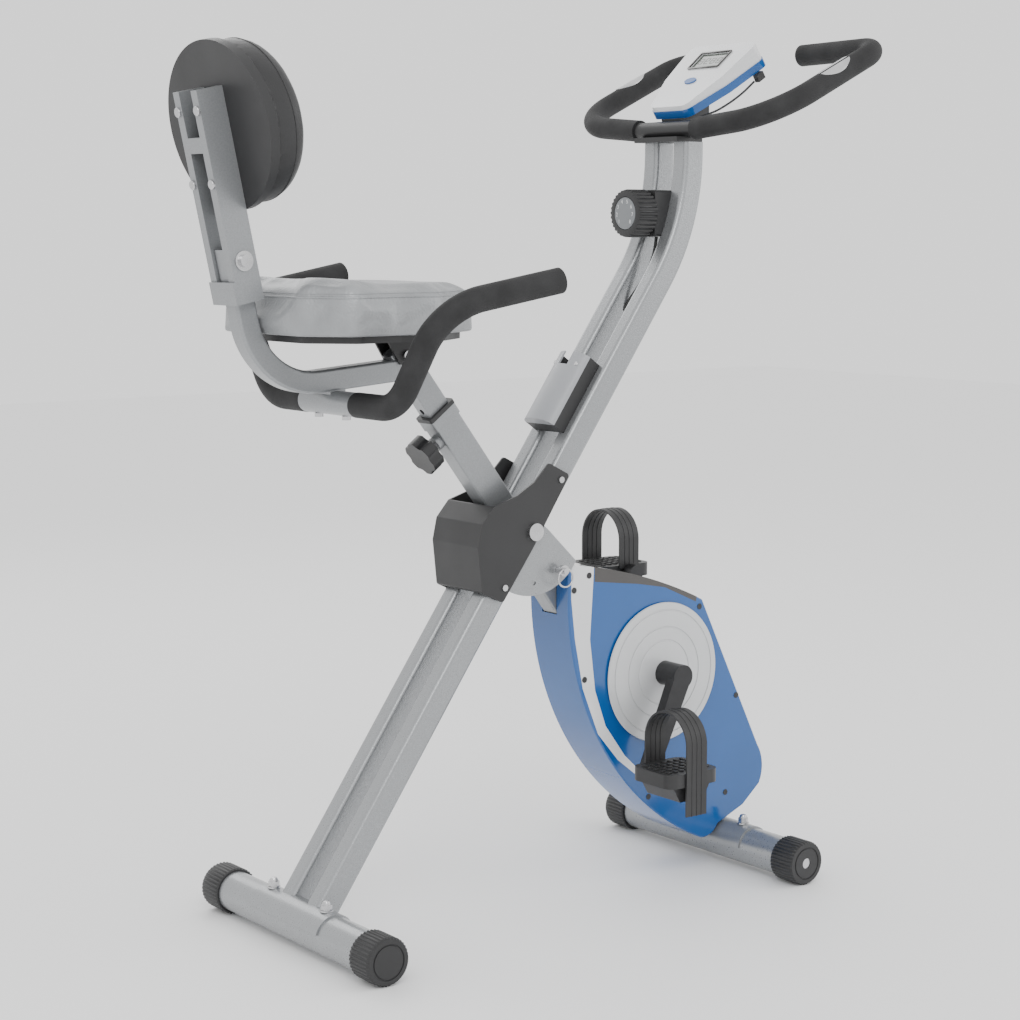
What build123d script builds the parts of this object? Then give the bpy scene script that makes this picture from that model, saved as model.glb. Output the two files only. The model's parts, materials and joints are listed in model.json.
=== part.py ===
"""Folding X-frame exercise bike, in millimetres.

Frame of the part: +X is forward (the way the rider faces), +Y is the rider's left and +Z is up.
The origin is on the floor under the fold axis, on the bike's middle plane.
"""
from build123d import *
import math
import os

# ---------------------------------------------------------------- driving dimensions
# Stance
rear_reach = 360.6              # rear stabiliser behind the fold axis
front_reach = 386.6             # front stabiliser ahead of the fold axis
stabiliser_length = 434.0       # over the end caps
stabiliser_radius = 28.5
stabiliser_wall = 2.0
cap_radius = 33.0
cap_length = 45.0
foot_half = 10.0                # flat under each rear cap
saddle_thickness = 2.5
rear_saddle_half = 88.0
front_saddle_half = 100.0
rear_bolt_y = 68.0
front_bolt_y = 78.0
frame_bolt_radius = 4.0

# Rear frame: a pair of rails
rail_angle = 55.0               # from the floor
rail_width = 30.0
rail_depth = 38.0
rail_corner = 7.0
rail_wall = 2.0
rail_spacing = 65.4             # centre to centre
rail_top_x = 301.0              # where the rails stand upright
rail_top_z = 1096.0
rail_bend_radius = 320.0

# Fold hinge
pivot_z = 545.0
pivot_radius = 6.0
pivot_bush_radius = 9.0
pivot_cap_radius = 12.5
fold_angle = 36.0
lock_distance = 73.0            # lock pin from the fold axis
lock_pin_radius = 4.0
lock_travel = 10.0              # from drawn back to home
plate_thickness = 3.5
plate_reach = 92.0              # outer edge of the locking plates, from the fold axis

hinge_screws = [(47.0, 616.0), (-53.2, 470.1)]
screw_radius = 2.0

# Main tube and seat post
tube_depth = 44.0
tube_width = 32.0
tube_wall = 2.0
sleeve_length = 216.0           # main tube above the fold axis
post_depth = 37.0
post_width = 25.0
post_wall = 2.0
post_bottom = 65.0              # from the fold axis, along the tube
post_top = 330.0
post_pin_spacing = 25.0
post_drop = 50.0
post_rise = 75.0
knob_station = 181.5            # seat pin from the fold axis
knob_radius = 27.0
seat_pin_radius = 4.0

# Seat frame
seat_frame_width = 30.0
seat_frame_depth = 30.0
seat_frame_wall = 2.0
seat_frame_bend = 100.0
seat_frame_slope = 4.7
seat_length = 302.0
seat_half_width = 152.0
seat_rear_x = -411.0
seat_top_z = 896.0
seat_bottom_z = 833.0
seat_board = 9.0

# Seat grips
bar_radius = 12.7
bar_wall = 2.0
grip_x = -300.0
grip_z = 739.0
grip_clamp_half = 62.0
grip_clamp_radius = 16.5
seat_grip_radius = 17.0
grip_end_cover = 3.0

# Backrest
backrest_x = -451.0
backrest_z = 929.0
backrest_lean = 12.0
bar_depth = 38.0
bar_plate = 15.0
bars_below = 54.0
bars_above = 221.0
pad_half_width = 125.0
pad_half_height = 110.0
pad_centre = 170.0              # up the bars from the pivot
shell_thickness = 13.0
pad_thickness = 50.0
pad_bolt_y = 24.5
pad_bolt_low = 102.5
pad_bolt_high = 195.6

# Handlebar
handlebar_x = 289.0
handlebar_z = 1114.0
handlebar_reach = 503.0         # X of the turned-in ends
handlebar_end_z = 1228.0
handlebar_half_width = 222.0
handlebar_end_y = 66.0
handlebar_grip_radius = 16.0
handlebar_grip_start = 56.0

# Housing
housing_half = 45.5
housing_wall = 2.5
housing_corner = 6.0
skin_thickness = 1.3            # of the strip and the band
plug_proud = 0.6

# Drive
crank_x = 245.9
crank_z = 312.8
crank_length = 140.0
crank_angle = -114.1            # right-hand arm
arm_inner = 80.0
arm_outer = 96.0
arm_boss_radius = 18.0
axle_radius = 8.5
disc_radius = 105.5
disc_thickness = 2.5
disc_gap = 2.0
pulley_radius = 90.0
pulley_y = 27.0
pulley_width = 10.0
flywheel_x = 348.0
flywheel_z = 190.0
flywheel_radius = 72.0
flywheel_axle_radius = 6.0
small_pulley_radius = 12.5
belt_thickness = 2.5
running_clearance = 0.06
side_gap = 0.3                  # between pieces that move past each other

# Pedals
pedal_length = 96.0
pedal_width = 88.0
pedal_thickness = 20.0
spindle_radius = 5.0
strap_height = 84.0
strap_width = 38.0
strap_thickness = 3.0
strap_tail = 52.0               # loose end, below the spindle

# ---------------------------------------------------------------- derived places
half_length = stabiliser_length / 2
rear_axis = (-rear_reach, cap_radius)
front_axis = (front_reach, cap_radius)
rail_dir = (math.cos(math.radians(rail_angle)), math.sin(math.radians(rail_angle)))
rail_y = rail_spacing / 2
rail_outer = rail_y + rail_width / 2
pivot_x = 0.0
tube_angle = math.atan2(pivot_z - front_axis[1], pivot_x - front_axis[0])
tube_dir = (math.cos(tube_angle), math.sin(tube_angle))          # from the floor up to the seat
tube_back = (-tube_dir[1], tube_dir[0])                          # square to it, to the rear and down
tube_reach = math.hypot(pivot_z - front_axis[1], pivot_x - front_axis[0])
saddle_radius = stabiliser_radius + saddle_thickness
lean = math.radians(backrest_lean)
tension_knob_z = 992.0


# ---------------------------------------------------------------- helpers
def slab(profile, y_low, y_high):
    """Extrude a profile drawn in X and Z between two values of Y."""
    return extrude(Plane.XZ.offset(-y_high) * profile, amount=y_high - y_low)


def polygon(*points):
    return make_face(Polyline(*points, close=True))


def both_sides(shape):
    """The shape and its mirror image in the middle plane."""
    return shape + mirror(shape, about=Plane.XZ)


def y_rod(x, z, radius, y_low, y_high):
    return slab(Pos(x, z) * Circle(radius), y_low, y_high)


def along(plane, radius, low, high):
    """A rod on a plane's own axis, between two heights above it."""
    return extrude(plane.offset(low) * Circle(radius), amount=high - low)


def block(x, y, z):
    """A box from three pairs of limits."""
    centre = Pos((x[0] + x[1]) / 2, (y[0] + y[1]) / 2, (z[0] + z[1]) / 2)
    return centre * Box(x[1] - x[0], y[1] - y[0], z[1] - z[0])


def swept(path, section):
    """Sweep a section along a path; the section's own X lies along the part's Y where it can."""
    start = path @ 0
    tangent = path % 0
    side = Vector(0, 1, 0)
    if abs(tangent.Y) > 0.9:
        side = Vector(1, 0, 0)
    return sweep(Plane(origin=start, x_dir=side, z_dir=tangent) * section, path=path)


def on_tube(distance, offset=0.0):
    """X and Z of a place along the main tube, measured up from the fold axis, and out to its rear."""
    x = pivot_x + tube_dir[0] * distance + tube_back[0] * offset
    z = pivot_z + tube_dir[1] * distance + tube_back[1] * offset
    return (x, z)


def on_rail(distance, offset=0.0):
    """X and Z of a place up the rails from the rear stabiliser, and out to their rear."""
    x = rear_axis[0] + rail_dir[0] * distance - rail_dir[1] * offset
    z = rear_axis[1] + rail_dir[1] * distance + rail_dir[0] * offset
    return (x, z)


def on_backrest(up, forward=0.0):
    """X and Z of a place up the backrest bars from their pivot, and forward of them."""
    x = backrest_x - math.sin(lean) * up + math.cos(lean) * forward
    z = backrest_z + math.cos(lean) * up + math.sin(lean) * forward
    return (x, z)


def tube_plane(distance):
    """A plane square to the main tube: its X is the part's Y, its Y is the tube's front-to-rear."""
    x, z = on_tube(distance)
    return Plane(origin=(x, 0, z), x_dir=(0, 1, 0), z_dir=(tube_dir[0], 0, tube_dir[1]))


def backrest_plane(up, forward):
    """A plane square to the backrest: its Z points forward to the rider's back."""
    x, z = on_backrest(up, forward)
    return Plane(origin=(x, 0, z), x_dir=(0, 1, 0), z_dir=(math.cos(lean), 0, math.sin(lean)))


def hollow(plane, depth_x, depth_y, corner, wall, length):
    """A straight rounded box-section tube."""
    outer = extrude(plane * RectangleRounded(depth_x, depth_y, corner), amount=length)
    inner_x = depth_x - 2 * wall
    inner_y = depth_y - 2 * wall
    inner = extrude(plane * RectangleRounded(inner_x, inner_y, max(corner - wall, 0.5)), amount=length)
    return outer - inner


def rotated(points, angle, centre):
    """Points turned about an axis along +Y by the right-hand rule."""
    c = math.cos(math.radians(angle))
    s = math.sin(math.radians(angle))
    out = []
    for x, z in points:
        dx = x - centre[0]
        dz = z - centre[1]
        out.append((centre[0] + dx * c + dz * s, centre[1] - dx * s + dz * c))
    return out


nodes = {}


# ---------------------------------------------------------------- rear frame
def rail_path(y):
    bend_z = rear_axis[1] + (rail_top_x - rear_axis[0]) * math.tan(math.radians(rail_angle))
    points = [(rear_axis[0], y, rear_axis[1]), (rail_top_x, y, bend_z), (rail_top_x, y, rail_top_z)]
    return FilletPolyline(points, radius=rail_bend_radius)


def rail_solid(y, width, depth, corner):
    return swept(rail_path(y), RectangleRounded(width, depth, corner))


saddle_bore = y_rod(*rear_axis, saddle_radius, -half_length, half_length)
rail_outer_solids = {}
rails = []
for side in (-1, 1):
    outer = rail_solid(side * rail_y, rail_width, rail_depth, rail_corner)
    inner = rail_solid(side * rail_y, rail_width - 2 * rail_wall, rail_depth - 2 * rail_wall,
                       rail_corner - rail_wall)
    rail_outer_solids[side] = outer
    plate_low = rail_outer if side > 0 else -rail_outer - plate_thickness
    disc = Pos(pivot_x, pivot_z) * Circle(plate_reach)
    lower_front = on_rail(480.0, -rail_depth / 2 - 4)
    plate_face = disc & polygon((pivot_x - 2, pivot_z + 24), (pivot_x + 26, pivot_z + 2),
                                (pivot_x + 90, pivot_z - 60), (pivot_x + 60, pivot_z - 110),
                                (pivot_x - 30, pivot_z - 92), lower_front, on_rail(545.0, 8))
    plate = slab(plate_face, plate_low, plate_low + plate_thickness)
    rail = outer - inner - saddle_bore + plate
    rail -= y_rod(pivot_x, pivot_z, pivot_radius, -90, 90)
    lock_rest = on_tube(-lock_distance)
    lock_folded = rotated([lock_rest], fold_angle, (pivot_x, pivot_z))[0]
    for x, z in (lock_rest, lock_folded):
        rail -= y_rod(x, z, lock_pin_radius + running_clearance, -90, 90)
    for x, z in hinge_screws:
        rail -= y_rod(x, z, screw_radius, rail_outer, 90) + y_rod(x, z, screw_radius, -90, -rail_outer)
    rails.append(rail)
nodes["rails"] = Compound(children=rails)


def stabiliser(axis, half, bolt_y):
    tube = y_rod(*axis, stabiliser_radius, -half, half)
    tube -= y_rod(*axis, stabiliser_radius - stabiliser_wall, -half, half)
    for y in (-bolt_y, bolt_y):
        tube -= Pos(axis[0], y, axis[1]) * Cylinder(frame_bolt_radius, 4 * stabiliser_radius)
    return tube


def saddle(axis, half, bolt_y, keep_above):
    shell = y_rod(*axis, saddle_radius, -half, half) - y_rod(*axis, stabiliser_radius, -half, half)
    limit = 2 * saddle_radius
    keep = block((axis[0] - limit, axis[0] + limit), (-half, half), (keep_above, keep_above + limit))
    shell = shell & keep
    for y in (-bolt_y, bolt_y):
        shell -= Pos(axis[0], y, axis[1]) * Cylinder(frame_bolt_radius, 4 * stabiliser_radius)
    return shell


def stabiliser_bolt(axis, y):
    """A carriage bolt with a washer and a dome nut on top."""
    top = axis[1] + saddle_radius
    bottom = axis[1] - math.sqrt((stabiliser_radius - stabiliser_wall) ** 2 - 8.0 ** 2)
    shaft = Pos(axis[0], y, (bottom + top + 6) / 2) * Cylinder(frame_bolt_radius, top + 6 - bottom)
    head = Pos(axis[0], y, bottom + 2.0) * Cylinder(8.0, 3.0)
    washer = Pos(axis[0], y, top + 1.0) * Cylinder(9.0, 2.0)
    nut = Pos(axis[0], y, top + 5.0) * Cylinder(6.5, 6.0)
    dome = Pos(axis[0], y, top + 8.0) * Sphere(5.5)
    return shaft + head + washer + nut + dome


cap_inner_face = half_length - cap_length
rear_tube_half = half_length - 8.0
nodes["rear_stabiliser"] = stabiliser(rear_axis, rear_tube_half, rear_bolt_y)
nodes["rear_saddle"] = saddle(rear_axis, rear_saddle_half, rear_bolt_y, rear_axis[1] + 8)
nodes["rear_bolts"] = Compound(children=[stabiliser_bolt(rear_axis, y) for y in (-rear_bolt_y, rear_bolt_y)])

rear_cap = y_rod(*rear_axis, cap_radius, cap_inner_face, half_length)
rear_cap = chamfer(rear_cap.edges().filter_by(GeomType.CIRCLE), 2.0)
rear_cap += block((rear_axis[0] - foot_half, rear_axis[0] + foot_half),
                  (cap_inner_face + 4, half_length - 4), (0, 4))
rear_cap -= y_rod(*rear_axis, stabiliser_radius, cap_inner_face - 1, rear_tube_half)
nodes["rear_caps"] = Compound(children=[rear_cap, mirror(rear_cap, about=Plane.XZ)])

# ---------------------------------------------------------------- handlebar
handlebar_end_points = [
    (handlebar_reach - 2, handlebar_end_y, handlebar_end_z),
    (handlebar_reach, handlebar_half_width, handlebar_end_z + 2),
    (handlebar_x + 2, handlebar_half_width, handlebar_z + 14),
    (handlebar_x, handlebar_grip_start, handlebar_z),
]
handlebar_radii = [34.0, 82.0, 60.0]


def right_side(points):
    return [(x, -y, z) for x, y, z in points]


left_points = handlebar_end_points
whole_bar = FilletPolyline(left_points + right_side(left_points[::-1]),
                           radius=handlebar_radii + handlebar_radii[::-1])
handlebar = swept(whole_bar, Circle(bar_radius)) - swept(whole_bar, Circle(bar_radius - bar_wall))
plate_low_z = rail_top_z
head_plate = block((handlebar_x - 24, handlebar_x + 26), (-rail_outer, rail_outer),
                   (plate_low_z, handlebar_z - bar_radius + 2.0))
bar_core = y_rod(handlebar_x, handlebar_z, bar_radius - bar_wall, -rail_outer, rail_outer)
nodes["handlebar"] = handlebar + (head_plate - bar_core)


def foam(points, radii, radius):
    """A foam sleeve over a bar, closed over the bar's free end, which is the path's first point."""
    first = Vector(*points[0])
    away = (first - Vector(*points[1])).normalized()
    covered = [first + away * grip_end_cover] + [Vector(*p) for p in points[1:]]
    outer_path = FilletPolyline(covered, radius=radii)
    inner_path = FilletPolyline([Vector(*p) for p in points], radius=radii)
    return swept(outer_path, Circle(radius)) - swept(inner_path, Circle(bar_radius))


grip_left_points = handlebar_end_points[:3]
last_run = Vector(*handlebar_end_points[3]) - Vector(*handlebar_end_points[2])
grip_left_points = grip_left_points + [tuple(Vector(*handlebar_end_points[2]) + last_run * 0.96)]
handlebar_foam = foam(grip_left_points, handlebar_radii[:2], handlebar_grip_radius)

# Hand pulse plates: two half-ellipses let into the foam of each arm
arm_low = Vector(*handlebar_end_points[2])
arm_high = Vector(*handlebar_end_points[1])
arm_axis = (arm_high - arm_low).normalized()
sensor_centre = arm_low + (arm_high - arm_low) * 0.57
sensor_facing = Vector(-0.52, 0.18, 0.60)
sensor_facing = (sensor_facing - arm_axis * sensor_facing.dot(arm_axis)).normalized()
sensor_plane = Plane(origin=sensor_centre, x_dir=arm_axis, z_dir=sensor_facing)
sensor_start = Plane(origin=sensor_centre - arm_axis * 40, z_dir=arm_axis)
foam_skin = extrude(sensor_start * Circle(handlebar_grip_radius + 0.8), amount=80)
foam_skin -= extrude(sensor_start * Circle(handlebar_grip_radius - 0.8), amount=80)
sensor_face = Ellipse(31.0, 13.0) - Rectangle(80.0, 3.0)
sensor = foam_skin & extrude(sensor_plane * sensor_face, amount=30)
sensor_pieces = list(sensor.solids()) + list(mirror(sensor, about=Plane.XZ).solids())
nodes["pulse_sensors"] = Compound(children=sensor_pieces)
handlebar_foam -= extrude(sensor_plane * Ellipse(31.0, 13.0), amount=30) & foam_skin
nodes["handlebar_grips"] = Compound(children=[handlebar_foam, mirror(handlebar_foam, about=Plane.XZ)])

# ---------------------------------------------------------------- console
console_tilt = math.radians(33.0)
console_x = 296.0
console_z = 1131.0
console_length = 152.0
console_half = 76.0
console_tip_half = 40.0
console_base_height = 12.0
console_plane = Plane(origin=(console_x, 0, console_z),
                      x_dir=(math.cos(console_tilt), 0, math.sin(console_tilt)),
                      z_dir=(-math.sin(console_tilt), 0, math.cos(console_tilt)))


def console_outline(inset):
    middle = console_length * 0.45
    face = polygon((inset, console_tip_half - inset),
                   (middle, console_half * 0.86 - inset),
                   (console_length - inset, console_half - inset),
                   (console_length - inset, inset - console_half),
                   (middle, inset - console_half * 0.86),
                   (inset, inset - console_tip_half))
    return fillet(face.vertices(), 16.0 - inset)


console_base = extrude(console_plane * console_outline(0.0), amount=console_base_height)
console_base -= extrude(console_plane.offset(3.0) * console_outline(4.0), amount=console_base_height)
button_along = 62.0
screen_along = 112.0
cover_low = 13.0
cover_high = 26.0
cover_side = Plane(origin=console_plane.origin, x_dir=console_plane.x_dir, z_dir=(0, -1, 0))
wedge_face = polygon((0, console_base_height), (console_length, console_base_height),
                     (console_length, console_base_height + cover_high), (0, cover_low + 6))
wedge = extrude(cover_side.offset(-console_half) * wedge_face, amount=2 * console_half)
console_cover = extrude(console_plane.offset(console_base_height) * console_outline(1.5), amount=60) & wedge
console_cover -= extrude(console_plane.offset(console_base_height) * console_outline(4.5), amount=cover_low - 6)
slope = math.atan2(cover_high + console_base_height - cover_low - 6, console_length)
slope_plane = Plane(origin=console_plane.origin + console_plane.z_dir * (cover_low + 6),
                    x_dir=console_plane.x_dir * math.cos(slope) + console_plane.z_dir * math.sin(slope),
                    z_dir=console_plane.z_dir * math.cos(slope) - console_plane.x_dir * math.sin(slope))
screen_place = slope_plane * Pos(screen_along, 0, 0)
screen_pocket = screen_place * Box(34.0, 62.0, 6.0)
nodes["console_screen"] = screen_place * Pos(0, 0, -2.0) * Box(34.0, 62.0, 2.0)
button_place = slope_plane * Pos(button_along, 0, 0)
button_hole = button_place * extrude(Pos(0, 0, -5) * Ellipse(7.0, 12.0), amount=10)
button_seat = button_place * extrude(Pos(0, 0, -5) * Ellipse(9.5, 14.5), amount=3.0)
console_cover = console_cover - screen_pocket - button_hole - button_seat
button_cap = button_place * extrude(Pos(0, 0, -3.4) * Ellipse(6.7, 11.7), amount=5.2)
button_rim = button_place * extrude(Pos(0, 0, -3.6) * Ellipse(8.8, 13.8), amount=1.2)
nodes["console_button"] = button_cap + button_rim
nodes["console_base"] = console_base
nodes["console_cover"] = console_cover

bracket_face = polygon((handlebar_x + 8, handlebar_z + 10), (handlebar_x + 20, handlebar_z - 4),
                       (handlebar_x + 62, handlebar_z + 22), (handlebar_x + 62, console_z + 60),
                       (console_x - 4, console_z + 20))
console_floor = extrude(console_plane.offset(-0.01) * Rectangle(600, 400), amount=300)
console_bracket = slab(bracket_face, -22, 22) - console_floor
console_bracket -= y_rod(handlebar_x, handlebar_z, bar_radius, -60, 60) + head_plate
nodes["console_bracket"] = console_bracket

# Sensor lead: from a jack in the console's right-hand edge, under it, into the handlebar
lead_radius = 1.6
plug_place = console_plane * Pos(console_length - 30, -console_half * 0.985, -6.0)
plug = plug_place * Box(14.0, 9.0, 11.0)
lead_points = [
    console_plane * Pos(console_length - 38, -70.0, -9.0),
    console_plane * Pos(console_length - 60, -64.0, -14.0),
    console_plane * Pos(console_length - 82, -55.0, -17.0),
    console_plane * Pos(console_length - 104, -44.0, -18.0),
    console_plane * Pos(console_length - 122, -38.0, -14.0),
]
lead_points = [p.position for p in lead_points]
lead_points.append(Vector(handlebar_x + 6, -36.0, handlebar_z + bar_radius - 3.0))


def cord_path(points):
    """Straight runs joined by arcs, each as large as its two runs allow."""
    radii = []
    for a, b, c in zip(points, points[1:], points[2:]):
        turn = math.radians((b - a).get_angle(c - b))
        radii.append(0.45 * min((b - a).length, (c - b).length) / math.tan(turn / 2))
    print("cord radii", [round(r, 1) for r in radii])
    return FilletPolyline(points, radius=radii)


lead_path = cord_path(lead_points)
lead = swept(lead_path, Circle(lead_radius))
print("lead length", round(lead_path.length, 1), "volume", round(lead.volume, 1),
      "section x length", round(math.pi * lead_radius ** 2 * lead_path.length, 1))
nodes["sensor_lead"] = (plug - console_base) + (lead - y_rod(handlebar_x, handlebar_z, bar_radius, -60, 60))

# ---------------------------------------------------------------- tension control
base_x = 245.0
tension_base = block((base_x, rail_top_x - 12), (-24, 24), (tension_knob_z - 34, tension_knob_z + 34))
tension_base = fillet(tension_base.edges().filter_by(Axis.X), 5.0)
for outer in rail_outer_solids.values():
    tension_base -= outer
dial_plane = Plane(origin=(base_x, 0, tension_knob_z), x_dir=(0, 1, 0), z_dir=(-1, 0, 0))
dial_shaft = 4.0
tension_base -= along(dial_plane, dial_shaft + running_clearance, -20, 1)
nodes["tension_base"] = tension_base
dial_radius = 35.0
dial_length = 37.0
dial = along(dial_plane, dial_radius, 0.5, 0.5 + dial_length)
dial = fillet(dial.edges().group_by(Axis.X)[0], 3.0)
nodes["tension_dial"] = dial + along(dial_plane, dial_shaft, -18, 2)

cable_radius = 2.5
cable_points = [
    Vector(269, 0, tension_knob_z - 34),
    Vector(266, 1, tension_knob_z - 58),
    Vector(257, 3, tension_knob_z - 82),
    Vector(244, 7, tension_knob_z - 104),
    Vector(231, 13, tension_knob_z - 124),
    Vector(221, rail_y - rail_width / 2 + rail_wall, tension_knob_z - 142),
]
cable_path = cord_path(cable_points)
cable = swept(cable_path, Circle(cable_radius))
print("cable length", round(cable_path.length, 1), "volume", round(cable.volume, 1),
      "section x length", round(math.pi * cable_radius ** 2 * cable_path.length, 1))
nodes["tension_cable"] = cable - rail_outer_solids[1] - tension_base

# ---------------------------------------------------------------- pocket on the rails
pocket_low = 776.0
pocket_length = 115.0
pocket_half = 33.0
pocket_wall = 3.0
pocket_flat = 21.0
pocket_round = 16.0
pocket_screw_y = 24.0
pocket_back = rail_depth / 2 + 0.3


def pocket_section(inset):
    """Flat-backed section; its Y runs from the rails out to the rear."""
    half = pocket_half - inset
    flat = Pos(0, pocket_flat / 2) * Rectangle(2 * half, pocket_flat)
    front = Pos(0, pocket_flat) * Ellipse(half, pocket_round - inset)
    face = flat + front
    floor = Pos(0, -50 + inset) * Rectangle(200, 100)
    return face - floor


def pocket_plane(distance):
    x, z = on_rail(distance, pocket_back)
    return Plane(origin=(x, 0, z), x_dir=(0, 1, 0), z_dir=(rail_dir[0], 0, rail_dir[1]))


pocket = extrude(pocket_plane(pocket_low) * pocket_section(0.0), amount=pocket_length)
pocket -= extrude(pocket_plane(pocket_low + 4) * pocket_section(pocket_wall), amount=pocket_length)
split_plane_x, split_plane_z = on_rail(pocket_low - 10, pocket_back + pocket_flat)
split_plane = Plane(origin=(split_plane_x, 0, split_plane_z), x_dir=(0, 1, 0),
                    z_dir=(-rail_dir[1], 0, rail_dir[0]))
outside = extrude(split_plane * Rectangle(400, 700), amount=100)
notch_x, notch_z = on_rail(pocket_low + pocket_length, pocket_back + pocket_flat)
notch_plane = Plane(origin=(notch_x, 0, notch_z), x_dir=(0, 1, 0), z_dir=(-rail_dir[1], 0, rail_dir[0]))
notch = extrude(notch_plane * (Rectangle(20, 44) + Pos(0, -22) * Circle(10)), amount=60)
arch = extrude(notch_plane * Pos(0, -pocket_length) * Circle(10), amount=60)
pocket_face = (pocket & outside) - notch - arch
nodes["holder_face"] = pocket_face
nodes["holder_body"] = pocket - outside

# ---------------------------------------------------------------- hinge cover
cover_inner = rail_outer + plate_thickness + 0.8
cover_wall = 3.0
cover_outer = cover_inner + cover_wall
cheek = polygon((25.3, 641.2), (63.0, 622.0), (20.1, 557.0), (-1.3, 524.0), (-56.0, 449.0), (-92.4, 466.0),
                (-99.2, 530.6), (-92.2, 562.2), (-71.5, 585.8), (-31.4, 598.0), (0.4, 616.0))
cheek = fillet(cheek.vertices(), 5.0)
opening = polygon((-89.4, 440.0), (-89.4, 466.0), (-96.2, 530.6), (-89.4, 561.0), (-70.0, 582.0),
                  (-77.0, 640.0), (73.0, 700.0), (123.0, 620.0), (-27.0, 400.0))
hinge_cover = slab(cheek, -cover_outer, cover_outer) - slab(opening, -cover_inner, cover_inner)
hinge_cover -= y_rod(pivot_x, pivot_z, pivot_radius, -90, 90)
for x, z in hinge_screws:
    hinge_cover -= y_rod(x, z, screw_radius, -90, 90)
nodes["hinge_cover"] = hinge_cover


def cover_screw(x, z, y):
    """A pan-head screw through the cover into a rail; y is the face that its head sits on."""
    out = 1 if y > 0 else -1
    tip = out * (rail_outer + 0.5)
    head = y_rod(x, z, 4.5, min(y, y + out * 2.4), max(y, y + out * 2.4))
    shaft = y_rod(x, z, screw_radius, min(tip, y), max(tip, y))
    return head + shaft


screws = [cover_screw(x, z, y) for x, z in hinge_screws for y in (-cover_outer, cover_outer)]
for y in (-pocket_screw_y, pocket_screw_y):
    height = pocket_low + pocket_length - 18
    sx, sz = on_rail(height, pocket_back + pocket_flat + pocket_round * math.sqrt(1 - (y / pocket_half) ** 2))
    screw_plane = Plane(origin=(sx, y, sz), x_dir=(0, 1, 0), z_dir=(-rail_dir[1], 0, rail_dir[0]))
    holder_screw = along(screw_plane, 3.0, -1.0, 1.0)
    screws.append(holder_screw)
    nodes["holder_face"] -= holder_screw
nodes["cover_screws"] = Compound(children=screws)

pivot_bolt = y_rod(pivot_x, pivot_z, pivot_radius, -cover_outer - 1, cover_outer + 1)
for side in (-1, 1):
    low = cover_outer if side > 0 else -cover_outer - 5
    cap = y_rod(pivot_x, pivot_z, pivot_cap_radius, low, low + 5)
    pivot_bolt += cap
nodes["pivot_bolt"] = pivot_bolt

# ---------------------------------------------------------------- main frame
main_start = tube_plane(-tube_reach)
main_length = tube_reach + sleeve_length
front_saddle_bore = y_rod(*front_axis, saddle_radius, -half_length, half_length)
main_tube = hollow(main_start, tube_width, tube_depth, 3.0, tube_wall, main_length)
collar = extrude(tube_plane(sleeve_length - 16)
                 * RectangleRounded(tube_width + 4, tube_depth + 4, 4.0), amount=16)
collar -= extrude(tube_plane(sleeve_length - 17)
                  * RectangleRounded(tube_width - 4, tube_depth - 4, 1.0), amount=20)
main_tube = main_tube + collar
pivot_bush = y_rod(pivot_x, pivot_z, pivot_bush_radius, -tube_width / 2 - 1, tube_width / 2 + 1)
main_tube = main_tube + pivot_bush - front_saddle_bore
main_tube -= y_rod(pivot_x, pivot_z, pivot_radius + running_clearance, -90, 90)
main_tube -= y_rod(*on_tube(-lock_distance), lock_pin_radius + 0.2, -90, 90)

knob_x, knob_z = on_tube(knob_station)
knob_plane = Plane(origin=(knob_x, 0, knob_z), x_dir=(0, 1, 0), z_dir=(tube_back[0], 0, tube_back[1]))
boss_top = tube_depth / 2 + 8
main_tube += along(knob_plane, 11.0, tube_depth / 2 - 1, boss_top)
main_tube -= along(knob_plane, seat_pin_radius + running_clearance, tube_depth / 2 - 4, boss_top + 1)

shell_low = -40.0
shell_high = 18.0
bearing_radius = 16.0
bb_shell = y_rod(crank_x, crank_z, bearing_radius + 3, shell_low, shell_high)
foot_a = on_tube(-245.0, -tube_depth / 2 + 1)
foot_b = on_tube(-372.0, -tube_depth / 2 + 1)
gusset = slab(polygon(foot_a, (crank_x - 12, crank_z + 14), (crank_x + 12, crank_z - 14), foot_b), -4, 4)
wheel_boss = y_rod(flywheel_x, flywheel_z, 15.0, -10, 10)
foot_c = on_tube(-430.0, -tube_depth / 2 + 1)
foot_d = on_tube(-520.0, -tube_depth / 2 + 1)
wheel_gusset = slab(polygon(foot_c, (flywheel_x - 9, flywheel_z + 11),
                            (flywheel_x + 9, flywheel_z - 11), foot_d), -4, 4)
magnet_pivot_radius = 4.0
magnet_gap = 2.0
magnet_depth = 12.0
magnet_pivot_angle = math.radians(150.0)
magnet_reach = flywheel_radius + magnet_gap + magnet_depth
magnet_x = flywheel_x + magnet_reach * math.cos(magnet_pivot_angle)
magnet_z = flywheel_z + magnet_reach * math.sin(magnet_pivot_angle)
magnet_stud = y_rod(magnet_x, magnet_z, magnet_pivot_radius, -41, -tube_width / 2 + 1)
lug_x, lug_z = on_tube(-math.hypot(magnet_x - pivot_x, magnet_z - pivot_z), -6.0)
magnet_lug = make_hull((Pos(magnet_x, magnet_z) * Circle(9.0) + Pos(lug_x, lug_z) * Circle(9.0)).edges())
magnet_foot = slab(magnet_lug, -tube_width / 2 - 3.0, -tube_width / 2 + 1)
main_tube = main_tube + bb_shell + gusset + wheel_boss + wheel_gusset + magnet_foot + magnet_stud
main_tube -= y_rod(crank_x, crank_z, bearing_radius, shell_low - 1, shell_high + 1)
main_tube -= y_rod(flywheel_x, flywheel_z, 11.0, -11, 11)
main_tube += saddle(front_axis, front_saddle_half, front_bolt_y, front_axis[1] + 2)
nodes["main_tube"] = main_tube

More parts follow.
